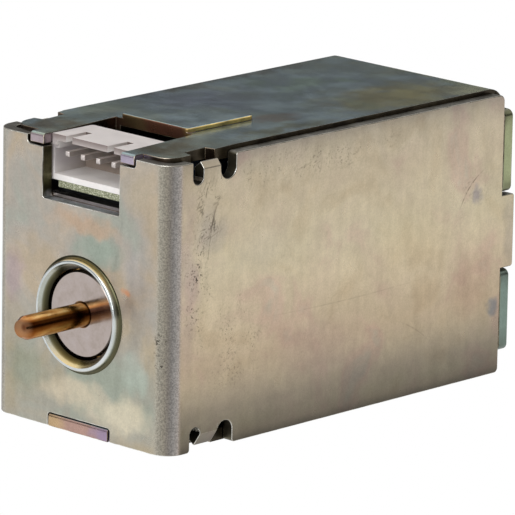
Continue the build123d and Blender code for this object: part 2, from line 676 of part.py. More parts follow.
side_x = board_half / 2
small_x = [side_x - SMALL_OFFSET_X, side_x + SMALL_OFFSET_X]
parts = {
    "casing": casing(),
    "frame": frame(),
    "front_pole_plate": front_pole_plate(),
    "fixed_core": fixed_core(),
    "guide_sleeve": guide_sleeve(),
    "core_shim": core_shim(),
    "return_spring": return_spring(),
    "plunger": plunger(),
    "push_rod": push_rod(),
    "rear_bumper": rear_bumper(),
    "rear_pole_ring": rear_pole_ring(),
    "spring_washer": spring_washer(),
    "bobbin": bobbin(),
    "winding": ring(winding_inner, winding_outer, winding_front, winding_back),
    "winding_tape": ring(winding_outer, tape_outer, winding_front, winding_back),
    "coil_terminals": [terminal(-lead_x), terminal(lead_x)],
    "coil_leads": [coil_lead(-lead_x), coil_lead(lead_x)],
    "insulating_sheet": insulating_sheet(),
    "circuit_board": circuit_board(),
    "connector_housing": connector_housing(),
    "connector_pins": [connector_pin(x) for x in pin_xs],
    "bridge_rectifier": leaded_chip(RECTIFIER_SIZE, -side_x, row_y(0), 2),
    "surge_varistor": varistor(side_x, row_y(0)),
    "storage_capacitor": capacitor(side_x, row_y(1)),
    "power_transistor": transistor(-side_x, row_y(1)),
    "control_chip": leaded_chip(CONTROLLER_SIZE, -side_x, row_y(2), 4),
    "clamp_diodes": [chip(DIODE_SIZE, side_x, row_y(2) + dy) for dy in (-DIODE_OFFSET, DIODE_OFFSET)],
    "chip_resistors": [chip(RESISTOR_SIZE, sign * x, row_y(3) + dy)
                       for sign in (-1, 1) for x in small_x for dy in (-SMALL_OFFSET_Y, SMALL_OFFSET_Y)],
    "chip_capacitors": [chip(CHIP_CAPACITOR_SIZE, sign * x, row_y(4)) for sign in (-1, 1) for x in small_x],
}

os.makedirs("parts", exist_ok=True)
for name, shape in parts.items():
    solids = shape if isinstance(shape, list) else [shape]
    placed = Compound(children=[Pos(0, -mid_length, 0) * solid for solid in solids])
    export_step(placed, f"parts/{name}.step")
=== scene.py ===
import logging
import math
from collections.abc import Callable
from dataclasses import dataclass, field
from enum import Enum, IntEnum
from typing import Any

import bmesh
import bpy
from mathutils import Matrix, Vector
from mathutils.bvhtree import BVHTree


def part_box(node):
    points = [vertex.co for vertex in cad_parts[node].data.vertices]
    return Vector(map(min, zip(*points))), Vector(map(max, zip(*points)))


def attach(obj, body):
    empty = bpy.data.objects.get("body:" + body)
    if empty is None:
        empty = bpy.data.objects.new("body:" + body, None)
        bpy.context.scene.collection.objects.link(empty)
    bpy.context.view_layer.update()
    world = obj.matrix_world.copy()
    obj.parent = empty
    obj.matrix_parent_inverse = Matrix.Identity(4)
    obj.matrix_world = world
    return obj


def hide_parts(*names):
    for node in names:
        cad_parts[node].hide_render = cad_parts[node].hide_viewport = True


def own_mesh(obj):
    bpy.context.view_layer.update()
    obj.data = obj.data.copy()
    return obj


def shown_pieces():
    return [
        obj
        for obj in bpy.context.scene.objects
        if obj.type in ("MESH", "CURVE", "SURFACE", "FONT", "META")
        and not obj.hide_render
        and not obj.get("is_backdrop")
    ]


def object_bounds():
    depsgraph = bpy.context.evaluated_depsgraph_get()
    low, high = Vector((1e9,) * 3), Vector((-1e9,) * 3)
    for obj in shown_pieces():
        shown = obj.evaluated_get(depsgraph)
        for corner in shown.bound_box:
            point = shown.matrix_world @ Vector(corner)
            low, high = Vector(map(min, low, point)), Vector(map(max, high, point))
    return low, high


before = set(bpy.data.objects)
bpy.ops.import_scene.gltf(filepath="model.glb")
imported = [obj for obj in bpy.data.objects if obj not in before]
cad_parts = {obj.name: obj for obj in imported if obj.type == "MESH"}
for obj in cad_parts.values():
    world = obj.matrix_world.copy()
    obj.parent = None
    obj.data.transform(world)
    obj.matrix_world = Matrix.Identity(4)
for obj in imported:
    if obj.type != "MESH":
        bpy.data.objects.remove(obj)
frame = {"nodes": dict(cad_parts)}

CAD_LOW, CAD_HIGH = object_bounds()

log = logging.getLogger("trip_coil")

MM = 0.001
COIL_BODY = "body"
MOVING_BODY = "armature"

# The sheet's gauge, its gap to the pole plate behind it, and where the drawn collar begins
SHEET_MM = 1.5
PLATE_GAP_MM = 0.05
COLLAR_ROOT_MM = 7.0
AXIS_HEIGHT = (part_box("push_rod")[0].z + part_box("push_rod")[1].z) / 2
FRONT_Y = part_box("front_pole_plate")[0].y - (SHEET_MM + PLATE_GAP_MM) * MM

# How thick the metal behind a broad face may look, and how far the thickness is probed
BROAD_FACE_GAUGES = 1.18
PROBE_GAUGES = 1.3
PROBE_SKIN_MM = 0.01

# How a CAD node's loose triangles become whole faces
MERGE_MM = 0.02
FLAT_ANGLE = math.radians(0.5)
SHARP_ANGLE = math.radians(32)
BROKEN_ANGLE = math.radians(50)

# Where a stain starts to fade, and the cosines between which a plate's mask rises
ZONE_CORE = 0.25
MASK_START = 0.45
MASK_FULL = 0.85

# Between which values a noise spreads
NOISE_LOW = 0.3
NOISE_HIGH = 0.7

# A wave texture's phase grows by 20 radians for each unit of length, times its scale
WAVE_RATE = 2 * math.pi / 20

# Settings that many nodes share
MIX = {"data_type": "RGBA", "blend_type": "MIX"}
TINT = {"data_type": "RGBA", "blend_type": "MULTIPLY"}
MULTIPLY = {"operation": "MULTIPLY"}
MULTIPLY_ADD = {"operation": "MULTIPLY_ADD"}
SCALE = {"operation": "SCALE"}
SMOOTH = {"interpolation_type": "SMOOTHSTEP"}

# A colour Mix node's two colours and its result, by the numbers of their sockets
FIRST, SECOND, MIXED = 6, 7, 2

Stops = tuple[tuple[float, str], ...]
Triple = tuple[float, float, float]
Material = bpy.types.Material
Socket = bpy.types.NodeSocket
Tree = bpy.types.NodeTree


def linear(code: str) -> tuple[float, float, float, float]:
    """Turns an sRGB hex colour into linear light.

    Args:
        code: The colour as six hex digits after a hash sign.

    Returns:
        Red, green, blue and a full alpha.
    """
    channels = [int(code[i:i + 2], 16) / 255 for i in (1, 3, 5)]
    red, green, blue = (c / 12.92 if c <= 0.04045 else ((c + 0.055) / 1.055) ** 2.4 for c in channels)
    return red, green, blue, 1.0


def per_metre(size_mm: float) -> float:
    """Pattern scale at which one feature is about size_mm across on Object coordinates."""
    return 1 / (size_mm * MM)


def add_node(tree: Tree, kind: str, settings: dict[str, Any] | None = None,
             inputs: dict[str | int, Any] | None = None) -> bpy.types.Node:
    """Adds one shader node with its settings, values and links.

    Args:
        tree: The node tree of a material or of the world.
        kind: The node's type name.
        settings: Properties of the node, by name. A ramp's stops come as "stops".
        inputs: A value or an output socket for each input named or numbered.

    Returns:
        The new node.
    """
    node = tree.nodes.new(kind)
    for name, value in (settings or {}).items():
        if name == "stops":
            elements = node.color_ramp.elements
            while len(elements) < len(value):
                elements.new(0.5)
            for element, (place, code) in zip(elements, value):
                element.position = place
                element.color = linear(code)
        else:
            setattr(node, name, value)
    for name, value in (inputs or {}).items():
        if isinstance(value, Socket):
            tree.links.new(value, node.inputs[name])
        else:
            node.inputs[name].default_value = value
    return node


def fresh_tree(name: str) -> tuple[Material, Tree]:
    """Makes an empty node material.

    Args:
        name: The material's name.

    Returns:
        The material and its cleared node tree.
    """
    material = bpy.data.materials.new(name)
    material.use_nodes = True
    material.node_tree.nodes.clear()
    return material, material.node_tree


class Facing(Enum):
    """The way a plate faces, and whether the opposite way counts too."""

    FRONT = ((0.0, -1.0, 0.0), False)
    SIDES = ((1.0, 0.0, 0.0), True)
    TOP = ((0.0, 0.0, 1.0), False)
    BOTTOM = ((0.0, 0.0, -1.0), False)

    @property
    def direction(self) -> Triple:
        """Unit normal of the plate."""
        return self.value[0]

    @property
    def both_ways(self) -> bool:
        """True where the plate on the other side looks the same."""
        return self.value[1]


class SheetPart(IntEnum):
    """What a face of a bent sheet is, which is also its material's number."""

    BROAD_FACE = 0
    CUT_EDGE = 1
    WORN_RIM = 2
    COLLAR = 3


@dataclass(frozen=True)
class Film:
    """The colours that a thin chromate film drifts through on one plate."""

    facing: Facing
    stops: Stops
    drift_mm: float = 9.0


@dataclass(frozen=True)
class Fade:
    """A change of tone along an axis: tints to multiply by, from start_mm to end_mm."""

    axis: Triple
    start_mm: float
    end_mm: float
    stops: Stops
    facing: Facing | None = None


@dataclass(frozen=True)
class StainAndPaintedLight:
    """A soft patch of another colour: some are film colours that the bath and handling leave, others are
    painted light and shade.
    """

    centre_mm: Triple
    reach_mm: Triple
    tint: str
    amount: float


@dataclass(frozen=True)
class Wear:
    """A zone of small dark pits and short scratches, where plates rub in the plating drum."""

    centre_mm: Triple
    reach_mm: Triple
    pits: float
    scratches: float


@dataclass(frozen=True)
class Scratch:
    """One long scratch on a side plate: part of a circle about an upright axis across the plate."""

    middle_mm: Triple
    radius_mm: float
    centre_mm: Triple
    reach_mm: Triple
    amount: float
    width_mm: float = 0.13


def soft_zone(tree: Tree, where: Socket, centre_mm: Triple, reach_mm: Triple) -> Socket:
    """Makes a value that is 1 in the middle of an ellipsoid and fades to 0 at its surface.

    Args:
        tree: The material's node tree.
        where: Object coordinates.
        centre_mm: The ellipsoid's centre.
        reach_mm: Its half-lengths.

    Returns:
        The value's socket.
    """
    offset = add_node(tree, "ShaderNodeVectorMath", {"operation": "SUBTRACT"}, {
        0: where, 1: [value * MM for value in centre_mm]})
    shrunk = add_node(tree, "ShaderNodeVectorMath", {"operation": "DIVIDE"}, {
        0: offset.outputs["Vector"], 1: [value * MM for value in reach_mm]})
    length = add_node(tree, "ShaderNodeVectorMath", {"operation": "LENGTH"}, {0: shrunk.outputs["Vector"]})
    zone = add_node(tree, "ShaderNodeMapRange", SMOOTH, {
        "Value": length.outputs["Value"], "From Min": ZONE_CORE, "To Min": 1.0, "To Max": 0.0})
    return zone.outputs["Result"]


def facing_mask(tree: Tree, facing: Facing) -> Socket:
    """Makes a value that is 1 on the plates that face one way and fades over the bends beside them.

    Args:
        tree: The material's node tree.
        facing: The plate that is wanted.

    Returns:
        The mask's output socket.
    """
    normal = add_node(tree, "ShaderNodeNewGeometry").outputs["Normal"]
    along = add_node(tree, "ShaderNodeVectorMath", {"operation": "DOT_PRODUCT"}, {
        0: normal, 1: facing.direction}).outputs["Value"]
    if facing.both_ways:
        along = add_node(tree, "ShaderNodeMath", {"operation": "ABSOLUTE"}, {0: along}).outputs[0]
    mask = add_node(tree, "ShaderNodeMapRange", SMOOTH, {
        "Value": along, "From Min": MASK_START, "From Max": MASK_FULL})
    return mask.outputs["Result"]


def faded(tree: Tree, where: Socket, fades: tuple[Fade, ...], colour: Socket) -> Socket:
    """Multiplies a colour by the tints of fades.

    Args:
        tree: The material's node tree.
        where: Object coordinates.
        fades: The fades.
        colour: The colour so far.

    Returns:
        The new colour's socket.
    """
    for fade in fades:
        place = add_node(tree, "ShaderNodeVectorMath", {"operation": "DOT_PRODUCT"}, {0: where, 1: fade.axis})
        along = add_node(tree, "ShaderNodeMapRange", inputs={
            "Value": place.outputs["Value"], "From Min": fade.start_mm * MM, "From Max": fade.end_mm * MM})
        tint = add_node(tree, "ShaderNodeValToRGB", {"stops": fade.stops}, {"Fac": along.outputs["Result"]})
        colour = add_node(tree, "ShaderNodeMix", TINT, {
            "Factor": facing_mask(tree, fade.facing) if fade.facing else 1.0,
            FIRST: colour, SECOND: tint.outputs["Color"]}).outputs[MIXED]
    return colour


def add_stains_and_painted_light(tree: Tree, where: Socket, stains_and_painted_light: tuple[StainAndPaintedLight, ...], colour: Socket) -> Socket:
    """Lays patches of film colour and of painted light and shade over a colour.

    Args:
        tree: The material's node tree.
        where: Object coordinates.
        stains_and_painted_light: The patches of film colour, painted light and painted shade.
        colour: The colour so far.

    Returns:
        The new colour's socket.
    """
    for colour_patch in stains_and_painted_light:
        zone = soft_zone(tree, where, colour_patch.centre_mm, colour_patch.reach_mm)
        amount = add_node(tree, "ShaderNodeMath", MULTIPLY, {0: zone, 1: colour_patch.amount})
        colour = add_node(tree, "ShaderNodeMix", MIX, {
            "Factor": amount.outputs[0], FIRST: colour, SECOND: linear(colour_patch.tint)}).outputs[MIXED]
    return colour


@dataclass(frozen=True)
class ChromatedZinc:
    """Cold-rolled steel sheet, zinc plated, with a yellow chromate film.

    The film is thinner than light's wavelength, so its colour drifts between straw, pink, blue
    and green. The plating is satin, with fine grain, small dark pits and a few rubbed scratches.
    """

    name: str
    ground: Stops
    films: tuple[Film, ...] = ()
    fades: tuple[Fade, ...] = ()
    stains_and_painted_light: tuple[StainAndPaintedLight, ...] = ()
    wear: tuple[Wear, ...] = ()
    long_scratches: tuple[Scratch, ...] = ()
    # Colours of the painted dark reflection on the upright bends
    bend_reflection: Stops | None = None
    # The plating's crystals are too fine to show, so the grain is drawn about ten times as coarse
    grain_mm: float = 0.2
    ground_drift_mm: float = 9.0
    patch_edge_mm: float = 4.5
    wander_mm: float = 5.0
    cloud_mm: float = 4.0
    mottle_mm: float = 1.4
    streak_mm: float = 1.3
    pit_mm: float = 0.36
    crowd_mm: float = 2.6
    break_mm: float = 0.8
    roughness: tuple[float, float] = (0.27, 0.4)
    metallic: float = 0.92
    mottle: float = 0.06
    pits: float = 0.04
    scratches: float = 0.05
    pit_colour: str = "#3A342C"
    hair_colour: str = "#5A5245"
    scratch_colour: str = "#6A5F52"
    # Turn in degrees and width in millimetres of each set of hair scratches
    hairs: tuple[tuple[float, float], ...] = ((76.0, 0.3), (62.0, 0.26), (18.0, 0.22))

    def material(self) -> Material:
        """Builds the finish.

        Returns:
            The material.
        """
        material, tree = fresh_tree(self.name)
        where = add_node(tree, "ShaderNodeTexCoord").outputs["Object"]
        grain = add_node(tree, "ShaderNodeTexNoise", inputs={
            "Vector": where, "Scale": per_metre(self.grain_mm), "Roughness": 0.7}).outputs["Fac"]
        colour = self._films(tree, where)
        colour = self._lay_stains_and_painted_light(tree, where, colour)
        colour = faded(tree, where, self.fades, colour)
        colour = self._mottled(tree, where, colour, grain)
        # Painted reflection: the upright bends darken where they mirror the dark room
        if self.bend_reflection:
            colour = self._painted_bend_reflection(tree, colour, grain)
        colour = self._worn(tree, where, colour)
        cloud = add_node(tree, "ShaderNodeTexNoise", inputs={
            "Vector": where, "Scale": per_metre(self.cloud_mm), "Detail": 4.0, "Roughness": 0.6})
        rough = add_node(tree, "ShaderNodeMapRange", SMOOTH, {
            "Value": cloud.outputs["Fac"], "From Min": NOISE_LOW, "From Max": NOISE_HIGH,
            "To Min": self.roughness[0], "To Max": self.roughness[1]})
        bump = add_node(tree, "ShaderNodeBump", inputs={
            "Strength": 0.2, "Distance": 0.01 * MM, "Height": grain})
        shader = add_node(tree, "ShaderNodeBsdfPrincipled", inputs={
            "Base Color": colour, "Metallic": self.metallic, "Roughness": rough.outputs["Result"],
            "Normal": bump.outputs["Normal"]})
        add_node(tree, "ShaderNodeOutputMaterial", inputs={"Surface": shader.outputs["BSDF"]})
        return material

    def _films(self, tree: Tree, where: Socket) -> Socket:
        """Colour of the film, with its own drift on each plate.

        Args:
            tree: The material's node tree.
            where: Object coordinates.

        Returns:
            The colour's output socket.
        """
        drift = add_node(tree, "ShaderNodeTexNoise", inputs={
            "Vector": where, "Scale": per_metre(self.ground_drift_mm), "Detail": 2.5, "Distortion": 0.5})
        colour = add_node(tree, "ShaderNodeValToRGB", {"stops": self.ground}, {
            "Fac": drift.outputs["Fac"]}).outputs["Color"]
        for film in self.films:
            drift = add_node(tree, "ShaderNodeTexNoise", inputs={
                "Vector": where, "Scale": per_metre(film.drift_mm), "Detail": 3.0, "Roughness": 0.55,
                "Distortion": 0.6})
            tint = add_node(tree, "ShaderNodeValToRGB", {"stops": film.stops}, {"Fac": drift.outputs["Fac"]})
            colour = add_node(tree, "ShaderNodeMix", MIX, {
                "Factor": facing_mask(tree, film.facing), FIRST: colour,
                SECOND: tint.outputs["Color"]}).outputs[MIXED]
        return colour

    def _lay_stains_and_painted_light(self, tree: Tree, where: Socket, colour: Socket) -> Socket:
        """Lays the patches of film colour and of painted light and shade over the film, with edges that wander.

        Args:
            tree: The material's node tree.
            where: Object coordinates.
            colour: The colour so far.

        Returns:
            The patched colour's output socket.
        """
        if not self.stains_and_painted_light:
            return colour
        wander = add_node(tree, "ShaderNodeTexNoise", inputs={
            "Vector": where, "Scale": per_metre(self.patch_edge_mm), "Detail": 3.0, "Roughness": 0.6})
        moved = add_node(tree, "ShaderNodeVectorMath", MULTIPLY_ADD, {
            0: wander.outputs["Color"], 1: (self.wander_mm * MM,) * 3, 2: where})
        centred = add_node(tree, "ShaderNodeVectorMath", {"operation": "SUBTRACT"}, {
            0: moved.outputs["Vector"], 1: (self.wander_mm / 2 * MM,) * 3})
        return add_stains_and_painted_light(tree, centred.outputs["Vector"], self.stains_and_painted_light, colour)

    def _mottled(self, tree: Tree, where: Socket, colour: Socket, grain: Socket) -> Socket:
        """Varies the tone in clouds, in faint upright streaks and in the metal's grain.

        Args:
            tree: The material's node tree.
            where: Object coordinates.
            colour: The colour so far.
            grain: The metal's grain.

        Returns:
            The mottled colour's output socket.
        """
        clouds = add_node(tree, "ShaderNodeTexNoise", inputs={
            "Vector": where, "Scale": per_metre(self.mottle_mm), "Detail": 6.0, "Roughness": 0.68})
        upright = add_node(tree, "ShaderNodeMapping", inputs={"Vector": where, "Scale": (1.0, 1.0, 0.12)})
        streaks = add_node(tree, "ShaderNodeTexNoise", inputs={
            "Vector": upright.outputs["Vector"], "Scale": per_metre(self.streak_mm), "Detail": 4.0,
            "Roughness": 0.6})
        layers = ((clouds.outputs["Fac"], self.mottle), (streaks.outputs["Fac"], self.mottle * 0.7),
                  (grain, self.mottle))
        for layer, depth in layers:
            tone = add_node(tree, "ShaderNodeMapRange", SMOOTH, {
                "Value": layer, "From Min": NOISE_LOW, "From Max": NOISE_HIGH, "To Min": 1.0 - depth,
                "To Max": 1.0 + depth * 0.8})
            colour = add_node(tree, "ShaderNodeVectorMath", SCALE, {
                0: colour, "Scale": tone.outputs["Result"]}).outputs["Vector"]
        return colour

    def _painted_bend_reflection(self, tree: Tree, colour: Socket, grain: Socket) -> Socket:
        """Colours the outside of the upright bends with a painted dark reflection of the room they face,
        roughened by coarse grain where stretching opened the plating.

        Args:
            tree: The material's node tree.
            colour: The colour so far.
            grain: The metal's grain.

        Returns:
            The colour's output socket.
        """
        normal = add_node(tree, "ShaderNodeNewGeometry").outputs["Normal"]
        size = add_node(tree, "ShaderNodeVectorMath", {"operation": "ABSOLUTE"}, {0: normal})
        parts = add_node(tree, "ShaderNodeSeparateXYZ", inputs={0: size.outputs["Vector"]}).outputs
        # The bend starts and ends where the normal's X says so, and isn't on faces that look up
        limits = (("X", 0.1, 0.36, 0.0, 1.0), ("X", 0.955, 0.999, 1.0, 0.0), ("Z", 0.15, 0.4, 1.0, 0.0))
        amount: Socket | float = 1.0
        for part, start, end, before, after in limits:
            limit = add_node(tree, "ShaderNodeMapRange", SMOOTH, {
                "Value": parts[part], "From Min": start, "From Max": end, "To Min": before, "To Max": after})
            amount = add_node(tree, "ShaderNodeMath", MULTIPLY, {
                0: amount, 1: limit.outputs["Result"]}).outputs[0]
        tint = add_node(tree, "ShaderNodeValToRGB", {"stops": self.bend_reflection}, {"Fac": parts["X"]})
        tone = add_node(tree, "ShaderNodeMapRange", SMOOTH, {
            "Value": grain, "From Min": 0.34, "From Max": 0.66, "To Min": 0.74, "To Max": 1.24})
        grained_reflection = add_node(tree, "ShaderNodeVectorMath", SCALE, {
            0: tint.outputs["Color"], "Scale": tone.outputs["Result"]})
        return add_node(tree, "ShaderNodeMix", MIX, {
            "Factor": amount, FIRST: colour, SECOND: grained_reflection.outputs["Vector"]}).outputs[MIXED]

    def _worn(self, tree: Tree, where: Socket, colour: Socket) -> Socket:
        """Adds small dark pits and fine scratches, thicker in the worn zones.

        Args:
            tree: The material's node tree.
            where: Object coordinates.
            colour: The colour so far.

        Returns:
            The worn colour's output socket.
        """
        crowds = add_node(tree, "ShaderNodeTexNoise", inputs={
            "Vector": where, "Scale": per_metre(self.crowd_mm), "Detail": 3.0})
        crowd = add_node(tree, "ShaderNodeMapRange", SMOOTH, {
            "Value": crowds.outputs["Fac"], "From Min": 0.4, "From Max": 0.62, "To Min": 0.15})
        pitted: Socket | float = self.pits
        scratched: Socket | float = self.scratches
        for zone in self.wear:
            near = soft_zone(tree, where, zone.centre_mm, zone.reach_mm)
            pitted = add_node(tree, "ShaderNodeMath", MULTIPLY_ADD, {
                0: near, 1: zone.pits, 2: pitted}).outputs[0]
            scratched = add_node(tree, "ShaderNodeMath", MULTIPLY_ADD, {
                0: near, 1: zone.scratches, 2: scratched}).outputs[0]
        specks = add_node(tree, "ShaderNodeTexNoise", inputs={
            "Vector": where, "Scale": per_metre(self.pit_mm), "Detail": 3.0, "Roughness": 0.62})
        dots = add_node(tree, "ShaderNodeMapRange", SMOOTH, {
            "Value": specks.outputs["Fac"], "From Min": 0.56, "From Max": 0.63})
        on_sides = facing_mask(tree, Facing.SIDES)
        marks = [(dots.outputs["Result"], (crowd.outputs["Result"], pitted), self.pit_colour)]
        for turn, size_mm in self.hairs:
            hair = self._hair(tree, where, turn, size_mm)
            marks.append((hair, (crowd.outputs["Result"], scratched, on_sides), self.hair_colour))
        for scratch in self.long_scratches:
            marks.append((self._arc(tree, where, scratch), (on_sides,), self.scratch_colour))
        for amount, factors, tint in marks:
            for factor in factors:
                amount = add_node(tree, "ShaderNodeMath", MULTIPLY, {0: amount, 1: factor}).outputs[0]
            colour = add_node(tree, "ShaderNodeMix", MIX, {
                "Factor": amount, FIRST: colour, SECOND: linear(tint)}).outputs[MIXED]
        return colour

    def _hair(self, tree: Tree, where: Socket, turn: float, size_mm: float) -> Socket:
        """Value of one set of short hair scratches on the side plates.

        Args:
            tree: The material's node tree.
            where: Object coordinates.
            turn: How far the scratches are turned about X, in degrees.
            size_mm: Their width.

        Returns:
            The value's socket.
        """
        turned = add_node(tree, "ShaderNodeMapping", {"vector_type": "TEXTURE"}, {
            "Vector": where, "Rotation": (math.radians(turn), 0.0, 0.0), "Scale": (1.0, 8.0, 1.0)})
        hair = add_node(tree, "ShaderNodeTexNoise", inputs={
            "Vector": turned.outputs["Vector"], "Scale": per_metre(size_mm), "Detail": 1.0})
        line = add_node(tree, "ShaderNodeMapRange", SMOOTH, {
            "Value": hair.outputs["Fac"], "From Min": 0.62, "From Max": 0.68, "To Max": 0.8})
        return line.outputs["Result"]

    def _arc(self, tree: Tree, where: Socket, scratch: Scratch) -> Socket:
        """Value of one long scratch, which breaks up along its way.

        Args:
            tree: The material's node tree.
            where: Object coordinates.
            scratch: The scratch.

        Returns:
            The value's socket.
        """
        offset = add_node(tree, "ShaderNodeVectorMath", {"operation": "SUBTRACT"}, {
            0: where, 1: [value * MM for value in scratch.middle_mm]})
        flat = add_node(tree, "ShaderNodeVectorMath", MULTIPLY, {
            0: offset.outputs["Vector"], 1: (0.0, 1.0, 1.0)})
        reach = add_node(tree, "ShaderNodeVectorMath", {"operation": "LENGTH"}, {0: flat.outputs["Vector"]})
        away = add_node(tree, "ShaderNodeMath", {"operation": "SUBTRACT"}, {
            0: reach.outputs["Value"], 1: scratch.radius_mm * MM})
        size = add_node(tree, "ShaderNodeMath", {"operation": "ABSOLUTE"}, {0: away.outputs[0]})
        line = add_node(tree, "ShaderNodeMapRange", SMOOTH, {
            "Value": size.outputs[0], "From Max": scratch.width_mm * MM, "To Min": scratch.amount,
            "To Max": 0.0})
        gaps = add_node(tree, "ShaderNodeTexNoise", inputs={"Vector": where, "Scale": per_metre(self.break_mm)})
        broken = add_node(tree, "ShaderNodeMapRange", SMOOTH, {
            "Value": gaps.outputs["Fac"], "From Min": 0.36, "From Max": 0.52, "To Min": 0.25})
        amount = add_node(tree, "ShaderNodeMath", MULTIPLY, {
            0: line.outputs["Result"], 1: broken.outputs["Result"]})
        zone = soft_zone(tree, where, scratch.centre_mm, scratch.reach_mm)
        return add_node(tree, "ShaderNodeMath", MULTIPLY, {0: amount.outputs[0], 1: zone}).outputs[0]


@dataclass(frozen=True)
class TurnedMetal:
    """Metal turned on a lathe: faint rings about the coil's axis, bright and slightly uneven."""

    name: str
    stops: Stops
    roughness: tuple[float, float]
    # Feed marks of 0.1 mm are too fine to show, so the rings are drawn millimetres apart
    ring_mm: float = 2.2
    ring_strength: float = 0.12
    patch_mm: float = 1.6
    stretch: Triple = (1.0, 1.0, 1.0)
    fades: tuple[Fade, ...] = ()
    stains_and_painted_light: tuple[StainAndPaintedLight, ...] = ()

    def material(self) -> Material:
        """Builds the finish.

        Returns:
            The material.
        """
        material, tree = fresh_tree(self.name)
        where = add_node(tree, "ShaderNodeTexCoord").outputs["Object"]
        centred = add_node(tree, "ShaderNodeMapping", inputs={
            "Vector": where, "Location": (0.0, 0.0, -AXIS_HEIGHT)})
        drawn = add_node(tree, "ShaderNodeMapping", inputs={"Vector": where, "Scale": self.stretch})
        patch = add_node(tree, "ShaderNodeTexNoise", inputs={
            "Vector": drawn.outputs["Vector"], "Scale": per_metre(self.patch_mm), "Detail": 5.0,
            "Roughness": 0.62})
        ground = add_node(tree, "ShaderNodeValToRGB", {"stops": self.stops}, {"Fac": patch.outputs["Fac"]})
        colour = faded(tree, where, self.fades, ground.outputs["Color"])
        colour = add_stains_and_painted_light(tree, where, self.stains_and_painted_light, colour)
        rings = add_node(tree, "ShaderNodeTexWave", {"wave_type": "RINGS", "rings_direction": "Y"}, {
            "Vector": centred.outputs["Vector"], "Scale": WAVE_RATE * per_metre(self.ring_mm),
            "Distortion": 0.6, "Detail": 2.0, "Detail Scale": 1.5})
        rough = add_node(tree, "ShaderNodeMapRange", SMOOTH, {
            "Value": patch.outputs["Fac"], "From Min": NOISE_LOW, "From Max": NOISE_HIGH,
            "To Min": self.roughness[0], "To Max": self.roughness[1]})
        bump = add_node(tree, "ShaderNodeBump", inputs={
            "Strength": self.ring_strength, "Distance": 0.01 * MM, "Height": rings.outputs["Fac"]})
        shader = add_node(tree, "ShaderNodeBsdfPrincipled", inputs={
            "Base Color": colour, "Metallic": 1.0, "Roughness": rough.outputs["Result"],
            "Normal": bump.outputs["Normal"]})
        add_node(tree, "ShaderNodeOutputMaterial", inputs={"Surface": shader.outputs["BSDF"]})
        return material


@dataclass(frozen=True)
class Moulding:
    """A moulded, cast, dipped or extruded material, with faint clouding and a fine texture."""

    name: str
    stops: Stops
    grain_mm: float
    roughness: float
    ior: float = 1.5
    metallic: float = 0.0
    bump_mm: float = 0.01
    translucence: float = 0.0
    fades: tuple[Fade, ...] = ()
    stains_and_painted_light: tuple[StainAndPaintedLight, ...] = ()
    uneven: float = 0.06
    scatter_mm: float = 0.6

    def material(self) -> Material:
        """Builds the finish.

        Returns:
            The material.
        """
        material, tree = fresh_tree(self.name)
        where = add_node(tree, "ShaderNodeTexCoord").outputs["Object"]
        cloud = add_node(tree, "ShaderNodeTexNoise", inputs={
            "Vector": where, "Scale": per_metre(self.grain_mm), "Detail": 4.0,
            "Roughness": 0.6}).outputs["Fac"]
        ground = add_node(tree, "ShaderNodeValToRGB", {"stops": self.stops}, {"Fac": cloud})
        colour = faded(tree, where, self.fades, ground.outputs["Color"])
        colour = add_stains_and_painted_light(tree, where, self.stains_and_painted_light, colour)
        rough = add_node(tree, "ShaderNodeMapRange", SMOOTH, {
            "Value": cloud, "From Min": NOISE_LOW, "From Max": NOISE_HIGH,
            "To Min": self.roughness - self.uneven, "To Max": self.roughness + self.uneven})
        bump = add_node(tree, "ShaderNodeBump", inputs={
            "Strength": 0.2, "Distance": self.bump_mm * MM, "Height": cloud})
        values = {"Base Color": colour, "Metallic": self.metallic, "Roughness": rough.outputs["Result"],
                  "Normal": bump.outputs["Normal"]}
        if self.metallic == 0.0:
            values["IOR"] = self.ior
        if self.translucence > 0.0:
            values["Subsurface Weight"] = self.translucence
            values["Subsurface Radius"] = (1.0, 0.9, 0.8)
            values["Subsurface Scale"] = self.scatter_mm * MM
        shader = add_node(tree, "ShaderNodeBsdfPrincipled", inputs=values)
        add_node(tree, "ShaderNodeOutputMaterial", inputs={"Surface": shader.outputs["BSDF"]})
        return material


